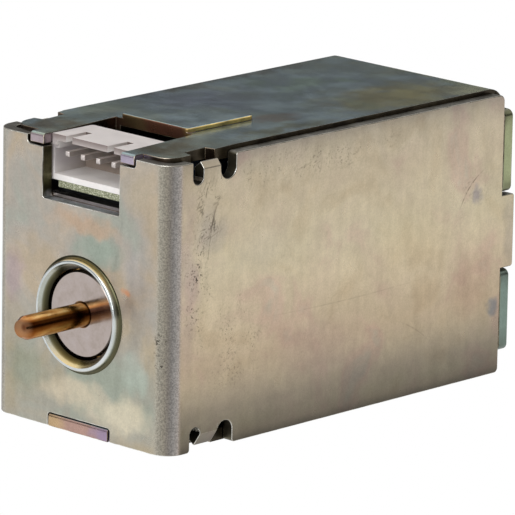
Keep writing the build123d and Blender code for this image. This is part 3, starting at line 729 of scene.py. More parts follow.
@dataclass(frozen=True)
class GlassEpoxy:
    """Circuit board: glass cloth in epoxy, solder mask on its faces, the cloth's ends on its edges."""

    name: str
    mask_stops: Stops
    edge_stops: Stops
    mask_mm: float = 3.0
    # Glass fibres of 0.01 mm are too fine to show, so their bundles are drawn
    fibre_mm: float = 0.16
    roughness: float = 0.42
    ior: float = 1.52

    def material(self) -> Material:
        """Builds the finish.

        Returns:
            The material.
        """
        material, tree = fresh_tree(self.name)
        where = add_node(tree, "ShaderNodeTexCoord").outputs["Object"]
        normal = add_node(tree, "ShaderNodeNewGeometry").outputs["Normal"]
        cloud = add_node(tree, "ShaderNodeTexNoise", inputs={
            "Vector": where, "Scale": per_metre(self.mask_mm), "Detail": 3.0})
        mask = add_node(tree, "ShaderNodeValToRGB", {"stops": self.mask_stops}, {"Fac": cloud.outputs["Fac"]})
        fibres = add_node(tree, "ShaderNodeTexNoise", inputs={
            "Vector": where, "Scale": per_metre(self.fibre_mm), "Detail": 3.0, "Roughness": 0.75})
        edge = add_node(tree, "ShaderNodeValToRGB", {"stops": self.edge_stops}, {"Fac": fibres.outputs["Fac"]})
        up = add_node(tree, "ShaderNodeVectorMath", {"operation": "DOT_PRODUCT"}, {
            0: normal, 1: Facing.TOP.direction})
        flat = add_node(tree, "ShaderNodeMath", {"operation": "ABSOLUTE"}, {0: up.outputs["Value"]})
        colour = add_node(tree, "ShaderNodeMix", MIX, {
            "Factor": flat.outputs[0], FIRST: edge.outputs["Color"], SECOND: mask.outputs["Color"]})
        bump = add_node(tree, "ShaderNodeBump", inputs={
            "Strength": 0.3, "Distance": 0.02 * MM, "Height": fibres.outputs["Fac"]})
        shader = add_node(tree, "ShaderNodeBsdfPrincipled", inputs={
            "Base Color": colour.outputs[MIXED], "Roughness": self.roughness, "IOR": self.ior,
            "Normal": bump.outputs["Normal"]})
        add_node(tree, "ShaderNodeOutputMaterial", inputs={"Surface": shader.outputs["BSDF"]})
        return material


@dataclass(frozen=True)
class WoundWire:
    """Enamelled copper wire wound in tight turns round the coil's axis."""

    name: str
    stops: Stops
    # Turns of 0.25 mm wire are too fine to show, so they are drawn six times as coarse
    turn_mm: float = 1.571

    def material(self) -> Material:
        """Builds the finish.

        Returns:
            The material.
        """
        material, tree = fresh_tree(self.name)
        where = add_node(tree, "ShaderNodeTexCoord").outputs["Object"]
        turns = add_node(tree, "ShaderNodeTexWave", {"wave_type": "BANDS", "bands_direction": "Y"}, {
            "Vector": where, "Scale": WAVE_RATE * per_metre(self.turn_mm), "Distortion": 0.2})
        colour = add_node(tree, "ShaderNodeValToRGB", {"stops": self.stops}, {"Fac": turns.outputs["Fac"]})
        bump = add_node(tree, "ShaderNodeBump", inputs={
            "Strength": 0.6, "Distance": 0.1 * MM, "Height": turns.outputs["Fac"]})
        shader = add_node(tree, "ShaderNodeBsdfPrincipled", inputs={
            "Base Color": colour.outputs["Color"], "Metallic": 0.8, "Roughness": 0.3,
            "Normal": bump.outputs["Normal"]})
        add_node(tree, "ShaderNodeOutputMaterial", inputs={"Surface": shader.outputs["BSDF"]})
        return material


def dress(thing: bpy.types.Object, *materials: Material) -> None:
    """Gives an object its materials, in the order of its faces' numbers.

    Args:
        thing: The object, a CAD node or a new piece.
        materials: The materials.
    """
    slots = thing.data.materials
    for number, material in enumerate(materials):
        if number < len(slots):
            slots[number] = material
        else:
            slots.append(material)


def sort_sheet_faces(shape: bmesh.types.BMesh) -> None:
    """Numbers the faces of a bent sheet as broad face, cut edge or collar.

    A face is a cut edge where the metal behind it is thicker than the sheet.

    Args:
        shape: The sheet's mesh.
    """
    solid = BVHTree.FromBMesh(shape)
    gauge = SHEET_MM * MM
    for face in shape.faces:
        middle = face.calc_center_median()
        start = middle - face.normal * PROBE_SKIN_MM * MM
        hit = solid.ray_cast(start, -face.normal, PROBE_GAUGES * gauge)[0]
        thin = hit is not None and (hit - middle).length < BROAD_FACE_GAUGES * gauge
        face.material_index = SheetPart.BROAD_FACE if thin else SheetPart.CUT_EDGE
        from_axis = math.hypot(middle.x, middle.z - AXIS_HEIGHT)
        if from_axis < COLLAR_ROOT_MM * MM and middle.y < FRONT_Y + gauge:
            face.material_index = SheetPart.COLLAR


def joined_copy(node: str, name: str,
                sort_faces: Callable[[bmesh.types.BMesh], None] | None = None) -> bpy.types.Object:
    """Copies a CAD node's loose triangles as one mesh of whole, smoothly shaded faces.

    Args:
        node: The CAD node.
        name: The new piece's name.
        sort_faces: Gives each face its material's number, before the faces are joined.

    Returns:
        The new piece, which stands for the node but rides on nothing yet.
    """
    shape = bmesh.new()
    shape.from_mesh(frame["nodes"][node].data)
    bmesh.ops.remove_doubles(shape, verts=shape.verts, dist=MERGE_MM * MM)
    shape.normal_update()
    if sort_faces:
        sort_faces(shape)
    bmesh.ops.dissolve_limit(shape, angle_limit=FLAT_ANGLE, verts=shape.verts, edges=shape.edges,
                             delimit={"MATERIAL"})
    for face in shape.faces:
        face.smooth = True
    weights = shape.edges.layers.float.new("bevel_weight_edge")
    for edge in shape.edges:
        corner = edge.calc_face_angle() if len(edge.link_faces) == 2 else 0.0
        edge.smooth = corner < SHARP_ANGLE
        collar = any(face.material_index == SheetPart.COLLAR for face in edge.link_faces)
        edge[weights] = float(corner > BROKEN_ANGLE and not collar)
    mesh = bpy.data.meshes.new(name)
    shape.to_mesh(mesh)
    shape.free()
    piece = bpy.data.objects.new(name, mesh)
    bpy.context.scene.collection.objects.link(piece)
    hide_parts(node)
    return piece


def soften(piece: bpy.types.Object, width_mm: float, rim: int = -1, clamp: bool = False) -> None:
    """Breaks a piece's marked edges, as tumbling and plating do.

    Args:
        piece: The piece.
        width_mm: Width of the broken edge.
        rim: Number of the material that the broken edge gets, or -1 for its neighbours'.
        clamp: Whether narrow faces hold the width back.
    """
    bevel = piece.modifiers.new("broken_edges", "BEVEL")
    bevel.width = width_mm * MM
    bevel.segments = 2
    bevel.limit_method = "WEIGHT"
    bevel.use_clamp_overlap = clamp
    bevel.harden_normals = True
    bevel.material = rim


@dataclass
class SheetMetalBox:
    """The bent casing and the bent frame that lock into each other."""

    casing_edge_mm: float = 0.1
    frame_edge_mm: float = 0.08
    casing: bpy.types.Object = field(init=False)
    frame: bpy.types.Object = field(init=False)

    def build(self) -> None:
        """Makes both pieces from their CAD nodes."""
        self.casing = joined_copy("casing", "casing_sheet", sort_sheet_faces)
        self.frame = joined_copy("frame", "frame_sheet", sort_sheet_faces)
        for piece, width in ((self.casing, self.casing_edge_mm), (self.frame, self.frame_edge_mm)):
            soften(piece, width, SheetPart.WORN_RIM)
            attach(piece, COIL_BODY)

    def dress(self) -> None:
        """Gives the casing and the frame their chromate films, cut edges and worn rims."""
        dress(self.casing, self._casing_film().material(), self._casing_edge().material(),
              self._casing_rim().material(), self._collar_film().material())
        dress(self.frame, self._frame_film().material(), self._frame_edge().material(),
              self._frame_rim().material())

    def _casing_rim(self) -> ChromatedZinc:
        """Broken edges of the casing: burnished bright on the front plate, dull on the side plates.

        Returns:
            The finish.
        """
        return ChromatedZinc(
            name="worn_zinc_casing_rim", ground=((0.3, "#8A857A"), (0.7, "#A8A298")),
            films=(Film(Facing.FRONT, ((0.38, "#BDBAB0"), (0.5, "#E6E4DC"), (0.6, "#FAF9F4")), 2.5),
                   Film(Facing.SIDES, ((0.38, "#6B665A"), (0.6, "#A39D90")), 2.0)),
            stains_and_painted_light=(StainAndPaintedLight((-7.0, -29.0, 30.4), (2.6, 3.0, 4.6), "#3E3A30", 1.0),),
            roughness=(0.2, 0.32), pits=0.1)

    def _frame_rim(self) -> ChromatedZinc:
        """Broken edges of the frame: dark along the sides, bright on the tabs, with painted highlights along
        the boss's front rim and at the left slot's end.

        Returns:
            The finish.
        """
        return ChromatedZinc(
            name="worn_zinc_frame_rim", ground=((0.3, "#4A453A"), (0.7, "#6E685A")),
            films=(Film(Facing.FRONT, ((0.38, "#7C6A58"), (0.5, "#B09C84"), (0.62, "#E8DCC8")), 2.0),
                   Film(Facing.SIDES, ((0.38, "#1E1A14"), (0.62, "#3E372B")), 2.0)),
            stains_and_painted_light=(
                StainAndPaintedLight((0.0, -11.0, 35.4), (9.0, 9.0, 1.6), "#2A251E", 0.7),
                # Painted highlight: the upper rim of the boss's front face
                StainAndPaintedLight((0.0, -17.4, 35.3), (8.5, 2.2, 2.0), "#C8A088", 0.9),
                StainAndPaintedLight((14.4, 28.6, 17.0), (3.0, 3.0, 19.0), "#8E9078", 1.0),
                StainAndPaintedLight((-14.4, 28.6, 17.0), (3.0, 3.0, 19.0), "#8E9078", 1.0),
                # Painted highlight: a white glint at the end of the left slot
                StainAndPaintedLight((-14.4, -20.8, 34.8), (1.6, 1.6, 1.6), "#FFFFFF", 1.0),
            ),
            roughness=(0.2, 0.32), pits=0.05)

    def _casing_film(self) -> ChromatedZinc:
        """Film of the front plate and the side plates: straw, pink and green, dulled by rubbing, with painted
        reflection that darkens them towards the bottom.

        Returns:
            The finish.
        """
        return ChromatedZinc(
            name="chromated_zinc_casing", ground=((0.3, "#A39A89"), (0.7, "#A1998C")),
            films=(
                Film(Facing.FRONT, ((0.34, "#BBAC96"), (0.45, "#B9AE9F"), (0.55, "#B2ACA2"),
                                    (0.66, "#ACAEA3")), 8.0),
                Film(Facing.SIDES, ((0.32, "#C7B799"), (0.45, "#CFC1A4"), (0.55, "#CEBFA4"),
                                    (0.64, "#CBB6A0"), (0.72, "#C3B7A2")), 8.0),
            ),
            fades=(
                # Painted reflection: both plates darken towards the bottom, where they mirror the shaded floor
                # beside the box; the side plates also turn a little darker and bluer near the top
                Fade((0.0, 0.0, 1.0), 0.0, 34.3, (
                    (0.0, "#66686C"), (0.03, "#8E8E91"), (0.06, "#9B9D9F"), (0.12, "#AFAFB3"),
                    (0.175, "#CAC8CA"), (0.235, "#E0DBDA"), (0.29, "#EAE3E1"), (0.38, "#F4EFEE"),
                    (0.5, "#FDFBFA"), (0.62, "#FDFFFF"), (0.82, "#F5F4F6"), (0.905, "#F0F0F4"),
                    (0.965, "#DEDFE6"), (1.0, "#C4C6D2")), Facing.SIDES),
                Fade((0.0, 0.0, 1.0), 0.0, 16.0, ((0.0, "#F4F8F4"), (0.45, "#EDF3EE"), (1.0, "#FFFFFF")),
                     Facing.FRONT),
            ),
            stains_and_painted_light=(
                StainAndPaintedLight((1.0, -29.1, 25.0), (7.5, 3.0, 1.9), "#C2A68C", 0.75),
                StainAndPaintedLight((3.4, -29.1, 22.4), (5.5, 3.0, 2.2), "#9AA79A", 0.8),
                StainAndPaintedLight((-11.0, -29.1, 17.0), (2.6, 3.0, 3.6), "#B6A3A4", 0.7),
                StainAndPaintedLight((9.4, -29.1, 20.6), (2.6, 3.0, 4.0), "#ACA9A7", 0.6),
                # Painted highlight: a warm glint on the plate at the collar's root, upper right
                StainAndPaintedLight((8.1, -29.1, 17.9), (1.4, 2.0, 0.9), "#D09A78", 0.95),
                StainAndPaintedLight((9.3, -29.1, 14.5), (2.0, 2.0, 3.2), "#94908A", 0.55),
                StainAndPaintedLight((8.9, -29.1, 8.6), (3.0, 3.0, 3.4), "#BCC2B8", 0.85),
                StainAndPaintedLight((7.5, -29.1, 3.4), (6.5, 3.0, 3.0), "#E6D8C2", 0.85),
                StainAndPaintedLight((-1.0, -29.1, 4.6), (8.0, 3.0, 2.4), "#E2D0BA", 0.8),
                StainAndPaintedLight((-8.8, -29.1, 6.0), (4.0, 3.0, 4.5), "#9EA091", 0.7),
                StainAndPaintedLight((9.5, -29.1, 30.0), (3.0, 3.0, 3.2), "#BDB29E", 0.6),
                StainAndPaintedLight((14.4, -26.0, 20.0), (2.0, 2.4, 15.0), "#B6A399", 0.6),
                StainAndPaintedLight((14.4, -4.0, 9.0), (2.0, 9.0, 5.0), "#C0AD9C", 0.55),
                StainAndPaintedLight((14.4, 12.0, 20.0), (2.0, 9.0, 6.0), "#CBBB9B", 0.6),
                StainAndPaintedLight((14.4, -14.0, 22.0), (2.0, 7.0, 4.0), "#CCBFA6", 0.7),
                StainAndPaintedLight((14.4, 22.0, 12.0), (2.0, 5.0, 6.0), "#BFA791", 0.55),
                StainAndPaintedLight((14.4, 23.2, 22.4), (2.0, 1.6, 1.4), "#9C9392", 0.8),
                StainAndPaintedLight((14.4, 26.3, 8.6), (2.0, 1.5, 1.2), "#8F9598", 0.8),
                StainAndPaintedLight((14.4, 29.6, 17.0), (3.0, 2.0, 7.0), "#B6AB98", 0.8),
                StainAndPaintedLight((14.4, -22.5, 26.0), (2.0, 3.0, 4.0), "#B5AB9C", 0.7),
            ),
            wear=(
                Wear((14.4, -22.8, 28.0), (3.0, 3.2, 4.5), 0.5, 0.95),
                Wear((14.4, -24.4, 19.0), (3.0, 3.0, 9.0), 0.9, 0.15),
                Wear((14.4, -18.0, 12.0), (3.0, 7.0, 8.0), 0.4, 0.1),
                Wear((13.0, -28.8, 12.0), (1.2, 1.2, 5.0), 1.0, 0.0),
                Wear((14.4, 22.0, 23.0), (3.0, 5.0, 4.0), 0.15, 0.15),
                Wear((14.4, -6.0, 31.5), (3.0, 22.0, 2.6), 0.4, 0.2),
                Wear((-14.4, 2.0, 18.0), (3.0, 20.0, 12.0), 0.2, 0.3),
            ),
            long_scratches=(
                Scratch((14.4, 27.6, 18.1), 8.3, (14.4, 22.0, 23.5), (2.0, 3.6, 3.6), 0.8),
                Scratch((14.4, 0.0, 320.0), 306.3, (14.4, 0.0, 13.8), (2.0, 16.0, 4.0), 0.2),
                Scratch((14.4, 14.0, 19.0), 37.0, (14.4, -22.6, 25.5), (2.0, 2.2, 4.4), 0.75),
                Scratch((14.4, 9.0, 16.0), 33.0, (14.4, -22.2, 27.0), (2.0, 2.4, 4.2), 0.6, 0.16),
                Scratch((14.4, 4.0, -6.0), 16.4, (14.4, 12.5, 8.0), (2.0, 4.0, 3.0), 0.3),
            ),
            # Painted reflection: the corner darkens in its middle, where it mirrors the dark room, and lightens
            # towards both plates
            bend_reflection=((0.2, "#B0AA9D"), (0.31, "#9E998C"), (0.45, "#938E82"), (0.59, "#8A8478"), (0.71, "#7F7971"),
                  (0.81, "#807C78"), (0.89, "#928E8A"), (0.95, "#A19A94"), (0.985, "#AEA095")))

    def _casing_edge(self) -> ChromatedZinc:
        """Sheared edges of the casing, rough and darkened by the film, with painted shade in the crimp notches
        and a painted reflection that lightens the sill under the window.

        Returns:
            The finish.
        """
        return ChromatedZinc(
            name="sheared_zinc_casing_edge", ground=((0.3, "#4C473B"), (0.7, "#6B6656")),
            films=(Film(Facing.TOP, ((0.35, "#4A453C"), (0.5, "#66635A"), (0.65, "#7D7A72")), 3.0),
                   Film(Facing.SIDES, ((0.35, "#34321F"), (0.65, "#5E5B41")), 2.5)),
            # Painted reflection: the sill under the window is lightened to a pale blue-grey
            stains_and_painted_light=(StainAndPaintedLight((0.0, -28.6, 26.9), (9.0, 3.0, 2.0), "#D8DEE8", 1.0),
                    StainAndPaintedLight((-9.0, -28.6, 34.4), (6.0, 3.0, 2.5), "#3A332B", 0.8),
                    StainAndPaintedLight((10.0, -28.6, 34.4), (6.0, 3.0, 2.5), "#3A332B", 0.7),
                    # Painted shade: near black in the notches beside the crimped tabs, top and bottom
                    StainAndPaintedLight((14.4, -22.0, 31.5), (4.0, 5.0, 2.6), "#1C1A14", 0.9),
                    StainAndPaintedLight((14.4, -22.0, 2.6), (4.0, 5.0, 3.0), "#16140F", 0.9)),
            roughness=(0.3, 0.45), pits=0.3, mottle=0.1)

    def _collar_film(self) -> ChromatedZinc:
        """Film of the drawn collar, burnished by the punch, with painted light: a painted highlight on the
        silvery lip, golden where it looks up, and painted shade deepening towards the root.

        Returns:
            The finish.
        """
        return ChromatedZinc(
            name="burnished_zinc_collar_painted_light", ground=((0.3, "#B0B0A4"), (0.7, "#BEBDB0")),
            # Painted light: silvery where the collar faces forward, golden where it looks up, duller where it
            # looks down
            films=(Film(Facing.FRONT, ((0.3, "#C0C6C6"), (0.7, "#D6DADA")), 4.0),
                   Film(Facing.SIDES, ((0.3, "#B2B6AE"), (0.7, "#C2C4BC")), 4.0),
                   Film(Facing.TOP, ((0.3, "#E8CC90"), (0.7, "#F4DCA8")), 4.0),
                   Film(Facing.BOTTOM, ((0.3, "#A8A494"), (0.7, "#B4B0A0")), 4.0)),
            # Painted shade: white at the lip as a painted highlight, darkening towards the root, where the
            # collar lies in shade
            fades=(Fade((0.0, 1.0, 0.0), -29.825, -28.8, (
                (0.0, "#FFFFFF"), (0.3, "#F2F4F2"), (0.46, "#98947C"), (0.62, "#706B50"), (0.8, "#55513C"),
                (1.0, "#3A3728"))),),
            roughness=(0.16, 0.24), pits=0.02, mottle=0.03)

    def _frame_film(self) -> ChromatedZinc:
        """Film of the top, back and bottom plates: blue-green and straw, glossier than the casing's.

        Returns:
            The finish.
        """
        return ChromatedZinc(
            name="chromated_zinc_frame", ground=((0.3, "#8D8A78"), (0.7, "#8A8A7E")),
            films=(
                Film(Facing.TOP, ((0.32, "#A3AC9C"), (0.44, "#9CAEAA"), (0.55, "#9AAEB6"),
                                  (0.66, "#96AEA3")), 11.0),
            ),
            stains_and_painted_light=(
                StainAndPaintedLight((8.0, 16.0, 34.8), (8.0, 15.0, 3.0), "#B5A965", 0.75),
                StainAndPaintedLight((3.0, 27.0, 34.8), (12.0, 2.5, 4.0), "#BCC6A1", 0.7),
                StainAndPaintedLight((11.0, 25.0, 34.8), (4.0, 3.5, 4.0), "#E6E8BC", 0.75),
                StainAndPaintedLight((-11.5, -15.0, 34.8), (4.0, 8.0, 3.0), "#9FAE9F", 0.7),
                StainAndPaintedLight((6.4, -3.6, 34.8), (2.2, 4.4, 3.0), "#A2784E", 0.4),
                StainAndPaintedLight((-6.0, -4.0, 35.0), (10.0, 11.0, 3.0), "#929DB2", 0.7),
                StainAndPaintedLight((9.0, -24.0, 34.5), (5.0, 6.0, 3.0), "#706646", 0.9),
                StainAndPaintedLight((-9.0, -25.0, 34.5), (5.0, 4.0, 3.0), "#70664B", 0.85),
                StainAndPaintedLight((-12.5, 6.0, 34.8), (1.8, 26.0, 3.0), "#5F5542", 0.6),
                StainAndPaintedLight((11.5, -8.0, 34.8), (2.4, 12.0, 3.0), "#848767", 0.7),
            ),
            wander_mm=9.0, roughness=(0.16, 0.25), pits=0.02, scratches=0.0, mottle=0.035)

    def _frame_edge(self) -> ChromatedZinc:
        """Sheared edges of the frame: copper and gold on the boss, lilac on the tabs, olive on the wings.

        Returns:
            The finish.
        """
        return ChromatedZinc(
            name="sheared_zinc_frame_edge", ground=((0.3, "#3E382D"), (0.7, "#575143")),
            films=(Film(Facing.FRONT, ((0.35, "#3A2E24"), (0.65, "#54463A")), 2.5),
                   Film(Facing.SIDES, ((0.35, "#2C261E"), (0.65, "#4A4234")), 3.0)),
            stains_and_painted_light=(
                StainAndPaintedLight((0.0, -17.4, 34.6), (9.5, 3.6, 3.6), "#7C5442", 1.0),
                StainAndPaintedLight((-3.6, -17.4, 34.8), (3.0, 3.6, 2.4), "#80704C", 0.7),
                StainAndPaintedLight((6.6, -11.0, 35.2), (3.0, 11.0, 3.6), "#FFE08A", 1.0),
                StainAndPaintedLight((7.4, -29.0, 34.0), (4.0, 3.0, 3.0), "#B3A9BB", 0.95),
                StainAndPaintedLight((-7.4, -29.0, 34.0), (4.0, 3.0, 3.0), "#B7A9AE", 0.9),
                StainAndPaintedLight((0.0, -29.2, 0.8), (7.5, 3.0, 3.5), "#BC9A8E", 0.9),
                StainAndPaintedLight((-4.0, -29.2, 0.4), (3.0, 3.0, 2.0), "#C4A87E", 0.8),
                StainAndPaintedLight((3.8, -29.2, 0.8), (3.0, 3.0, 2.0), "#A896B4", 0.8),
                StainAndPaintedLight((14.4, 28.3, 27.0), (4.0, 4.0, 7.0), "#A0A680", 1.0),
                StainAndPaintedLight((14.4, 28.3, 8.0), (4.0, 4.0, 8.0), "#7C8E84", 1.0),
                StainAndPaintedLight((-14.4, 28.3, 17.0), (4.0, 4.0, 17.0), "#98A07E", 1.0),
            ),
            roughness=(0.25, 0.4), pits=0.1, mottle=0.06)


@dataclass
class CoilAxis:
    """What shows on the coil's axis: the core's end in the collar, and the push rod."""

    edge_mm: float = 0.06
    core: bpy.types.Object = field(init=False)
    rod: bpy.types.Object = field(init=False)
    spring: bpy.types.Object = field(init=False)

    def build(self) -> None:
        """Makes the core, the rod and the spring from their CAD nodes."""
        self.core = joined_copy("fixed_core", "core_end")
        self.rod = joined_copy("push_rod", "brass_rod")
        self.spring = joined_copy("return_spring", "spring_wire")
        soften(self.core, self.edge_mm)
        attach(self.core, COIL_BODY)
        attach(self.rod, MOVING_BODY)
        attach(self.spring, COIL_BODY)
        self._let_spring_shorten()

    def _let_spring_shorten(self) -> None:
        """Gives the spring a mesh of its own, so that it could be shortened by as much as the plunger travels;
        nothing here shortens it.
        """
        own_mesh(self.spring)

    def dress(self) -> None:
        """Gives the axis its turned steel, brass and spring steel."""
        # Free-cutting steel, turned and plated: a soft, warm grey mirror
        steel = TurnedMetal("turned_plated_steel", ((0.3, "#A3978F"), (0.5, "#AFA39D"), (0.7, "#B5AAA6")),
                            roughness=(0.13, 0.2)).material()
        brass = self._brass().material()
        # Hard-drawn spring wire under oil: dark grey with a sheen
        wire = TurnedMetal("oiled_spring_steel", ((0.3, "#4E4E50"), (0.7, "#77777A")),
                           roughness=(0.25, 0.4)).material()
        dress(self.core, steel)
        dress(self.rod, brass)
        dress(self.spring, wire)
        for node in ("plunger", "front_pole_plate", "rear_pole_ring"):
            dress(frame["nodes"][node], steel)
        for node in ("guide_sleeve", "core_shim"):
            dress(frame["nodes"][node], brass)
        dress(frame["nodes"]["spring_washer"], wire)

    def _brass(self) -> TurnedMetal:
        """Drawn brass rod with a painted reflection: a golden highlight along the top and a dark band along its
        middle; dull and brown at its tip.

        Returns:
            The finish.
        """
        return TurnedMetal(
            "drawn_brass", ((0.3, "#C49050"), (0.45, "#DDB070"), (0.6, "#F0CE92"), (0.75, "#D6A564")),
            roughness=(0.13, 0.22), ring_mm=1.257, patch_mm=0.8, stretch=(1.0, 0.35, 1.0),
            # Painted reflection: pale at the bottom, a dark band across the middle, then a white highlight near
            # the top
            fades=(Fade((0.0, 0.0, 1.0), 12.8, 15.6,
                        ((0.0, "#C8B79E"), (0.3, "#BCA88A"), (0.42, "#866A4C"), (0.56, "#4C321F"),
                         (0.78, "#3A2416"), (0.86, "#A88A64"), (0.92, "#FFFFFF"), (1.0, "#F0E4CE"))),
                   Fade((0.0, 1.0, 0.0), -38.6, -36.0,
                        ((0.0, "#D8B8A4"), (0.4, "#E8CDB8"), (1.0, "#FFFFFF")))),
            stains_and_painted_light=(StainAndPaintedLight((0.0, -38.9, 14.2), (2.4, 1.7, 2.4), "#B88A64", 0.6),
                    StainAndPaintedLight((0.6, -38.3, 14.5), (0.7, 0.6, 0.7), "#5A3018", 0.9)))


@dataclass
class HeaderAndBoard:
    """The white header with its pins, and the board that carries it."""

    housing_edge_mm: float = 0.03
    pin_edge_mm: float = 0.05
    board_edge_mm: float = 0.04
    housing: bpy.types.Object = field(init=False)
    pins: bpy.types.Object = field(init=False)
    board: bpy.types.Object = field(init=False)

    def build(self) -> None:
        """Makes the header, the pins and the board from their CAD nodes."""
        self.housing = joined_copy("connector_housing", "header_housing")
        self.pins = joined_copy("connector_pins", "header_pins")
        self.board = joined_copy("circuit_board", "board_laminate_sheet")
        for piece, width in ((self.housing, self.housing_edge_mm), (self.pins, self.pin_edge_mm),
                             (self.board, self.board_edge_mm)):
            soften(piece, width, clamp=True)
            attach(piece, COIL_BODY)

    def dress(self) -> None:
        """Gives the header, the pins, the board and its components their finishes."""
        # Tin plate over stamped brass: pale grey with a soft shine
        tin = Moulding("tinned_brass_pin", ((0.3, "#C6BDB8"), (0.7, "#D6CFCB")), grain_mm=2.0,
                       roughness=0.38, metallic=0.85, bump_mm=0.002).material()
        # Woven glass in epoxy: dark green mask above, pale speckled fibre ends on the sawn edge
        laminate = GlassEpoxy("glass_epoxy_board", ((0.35, "#2F4A2C"), (0.65, "#3B5A33")),
                              ((0.38, "#5A5D43"), (0.5, "#888B6E"), (0.58, "#B2B498"),
                               (0.66, "#ECEBDA"))).material()
        # Epoxy moulded round the chips: black, matt and fine grained
        black = Moulding("moulded_black_epoxy", ((0.3, "#1B1B1D"), (0.7, "#262628")), grain_mm=0.4,
                         roughness=0.5, ior=1.55).material()
        # Epoxy that the varistor is dipped in: glossy blue, darkened with painted shade, as it lies in the
        # shade inside the box
        blue = Moulding("dipped_blue_epoxy", ((0.3, "#101B30"), (0.7, "#16233C")), grain_mm=1.5,
                        roughness=0.25, ior=1.55).material()
        # Moulded case of the film capacitor: plain grey and matt
        grey = Moulding("moulded_grey_box", ((0.3, "#6E6F70"), (0.7, "#7D7E80")), grain_mm=0.6,
                        roughness=0.5).material()
        # Fired ceramic of the chip capacitors: tan and matt
        ceramic = Moulding("fired_ceramic", ((0.3, "#8A6A45"), (0.7, "#9A7A52")), grain_mm=0.3,
                           roughness=0.55, ior=1.6).material()
        finishes = {self.housing: self._nylon().material(), self.pins: tin, self.board: laminate}
        node_finishes = {"coil_terminals": tin, "surge_varistor": blue, "storage_capacitor": grey,
                         "chip_capacitors": ceramic, "bridge_rectifier": black, "power_transistor": black,
                         "control_chip": black, "clamp_diodes": black, "chip_resistors": black}
        for thing, material in finishes.items():
            dress(thing, material)
        for node, material in node_finishes.items():
            dress(frame["nodes"][node], material)

    def _nylon(self) -> Moulding:
        """Moulded white nylon: matt and faintly translucent, with painted shade that turns it brown deep inside
        the shroud.

        Returns:
            The finish.
        """
        return Moulding(
            "moulded_white_nylon", ((0.3, "#E6E1DE"), (0.7, "#F1EDEA")), grain_mm=2.0, roughness=0.42,
            ior=1.53, translucence=0.15,
            # A little greyer at the top of the roof; painted shade darkens the roof's front face and the faces
            # deep in the shroud
            fades=(Fade((0.0, 0.0, 1.0), 33.8, 34.3, ((0.0, "#FFFFFF"), (1.0, "#DEDAD9"))),
                   Fade((0.0, 0.0, 1.0), 31.0, 34.4, ((0.0, "#FFFFFF"), (1.0, "#9C9290")), Facing.FRONT),
                   Fade((0.0, 1.0, 0.0), -26.5, -23.5, ((0.0, "#FFFFFF"), (1.0, "#A0948A")), Facing.FRONT),
                   Fade((0.0, 1.0, 0.0), -27.4, -22.6, ((0.0, "#FFFFFF"), (1.0, "#C0B8B2")), Facing.SIDES)),
            # Painted shade: dark brown in the back corner of the shroud, and grey on its left inner wall
            stains_and_painted_light=(StainAndPaintedLight((-0.5, -21.7, 31.8), (9.0, 3.4, 2.2), "#33271D", 0.97),
                    StainAndPaintedLight((-6.0, -25.4, 32.2), (1.2, 4.5, 3.4), "#A39C9F", 0.8)))


@dataclass
class Winding:
    """The bobbin and what is wound on it, all inside the closed box."""

    def dress(self) -> None:
        """Gives the bobbin, wire, tape, sheet, leads and bumper their finishes."""
        # Polyester film and tape: amber, smooth and glossy
        film = Moulding("polyester_film", ((0.3, "#C79A33"), (0.7, "#D9AE48")), grain_mm=3.0,
                        roughness=0.22, ior=1.64).material()
        # Enamelled copper wire: red-brown turns with bright crowns
        wire = WoundWire("enamelled_copper_wire",
                         ((0.2, "#6A2E14"), (0.6, "#B4602F"), (0.9, "#D98750"))).material()
        # Nylon filled with glass fibre, moulded: black with a slightly rough skin
        nylon = Moulding("glass_filled_nylon", ((0.3, "#1E1F21"), (0.7, "#2B2C2F")), grain_mm=0.5,
                         roughness=0.45, ior=1.53, bump_mm=0.03).material()
        # Moulded rubber: black and dull
        rubber = Moulding("moulded_rubber", ((0.3, "#161616"), (0.7, "#222222")), grain_mm=0.4,
                          roughness=0.8, ior=1.52).material()
        finishes = {"bobbin": nylon, "winding": wire, "coil_leads": wire, "winding_tape": film,
                    "insulating_sheet": film, "rear_bumper": rubber}
        for node, material in finishes.items():
            dress(frame["nodes"][node], material)


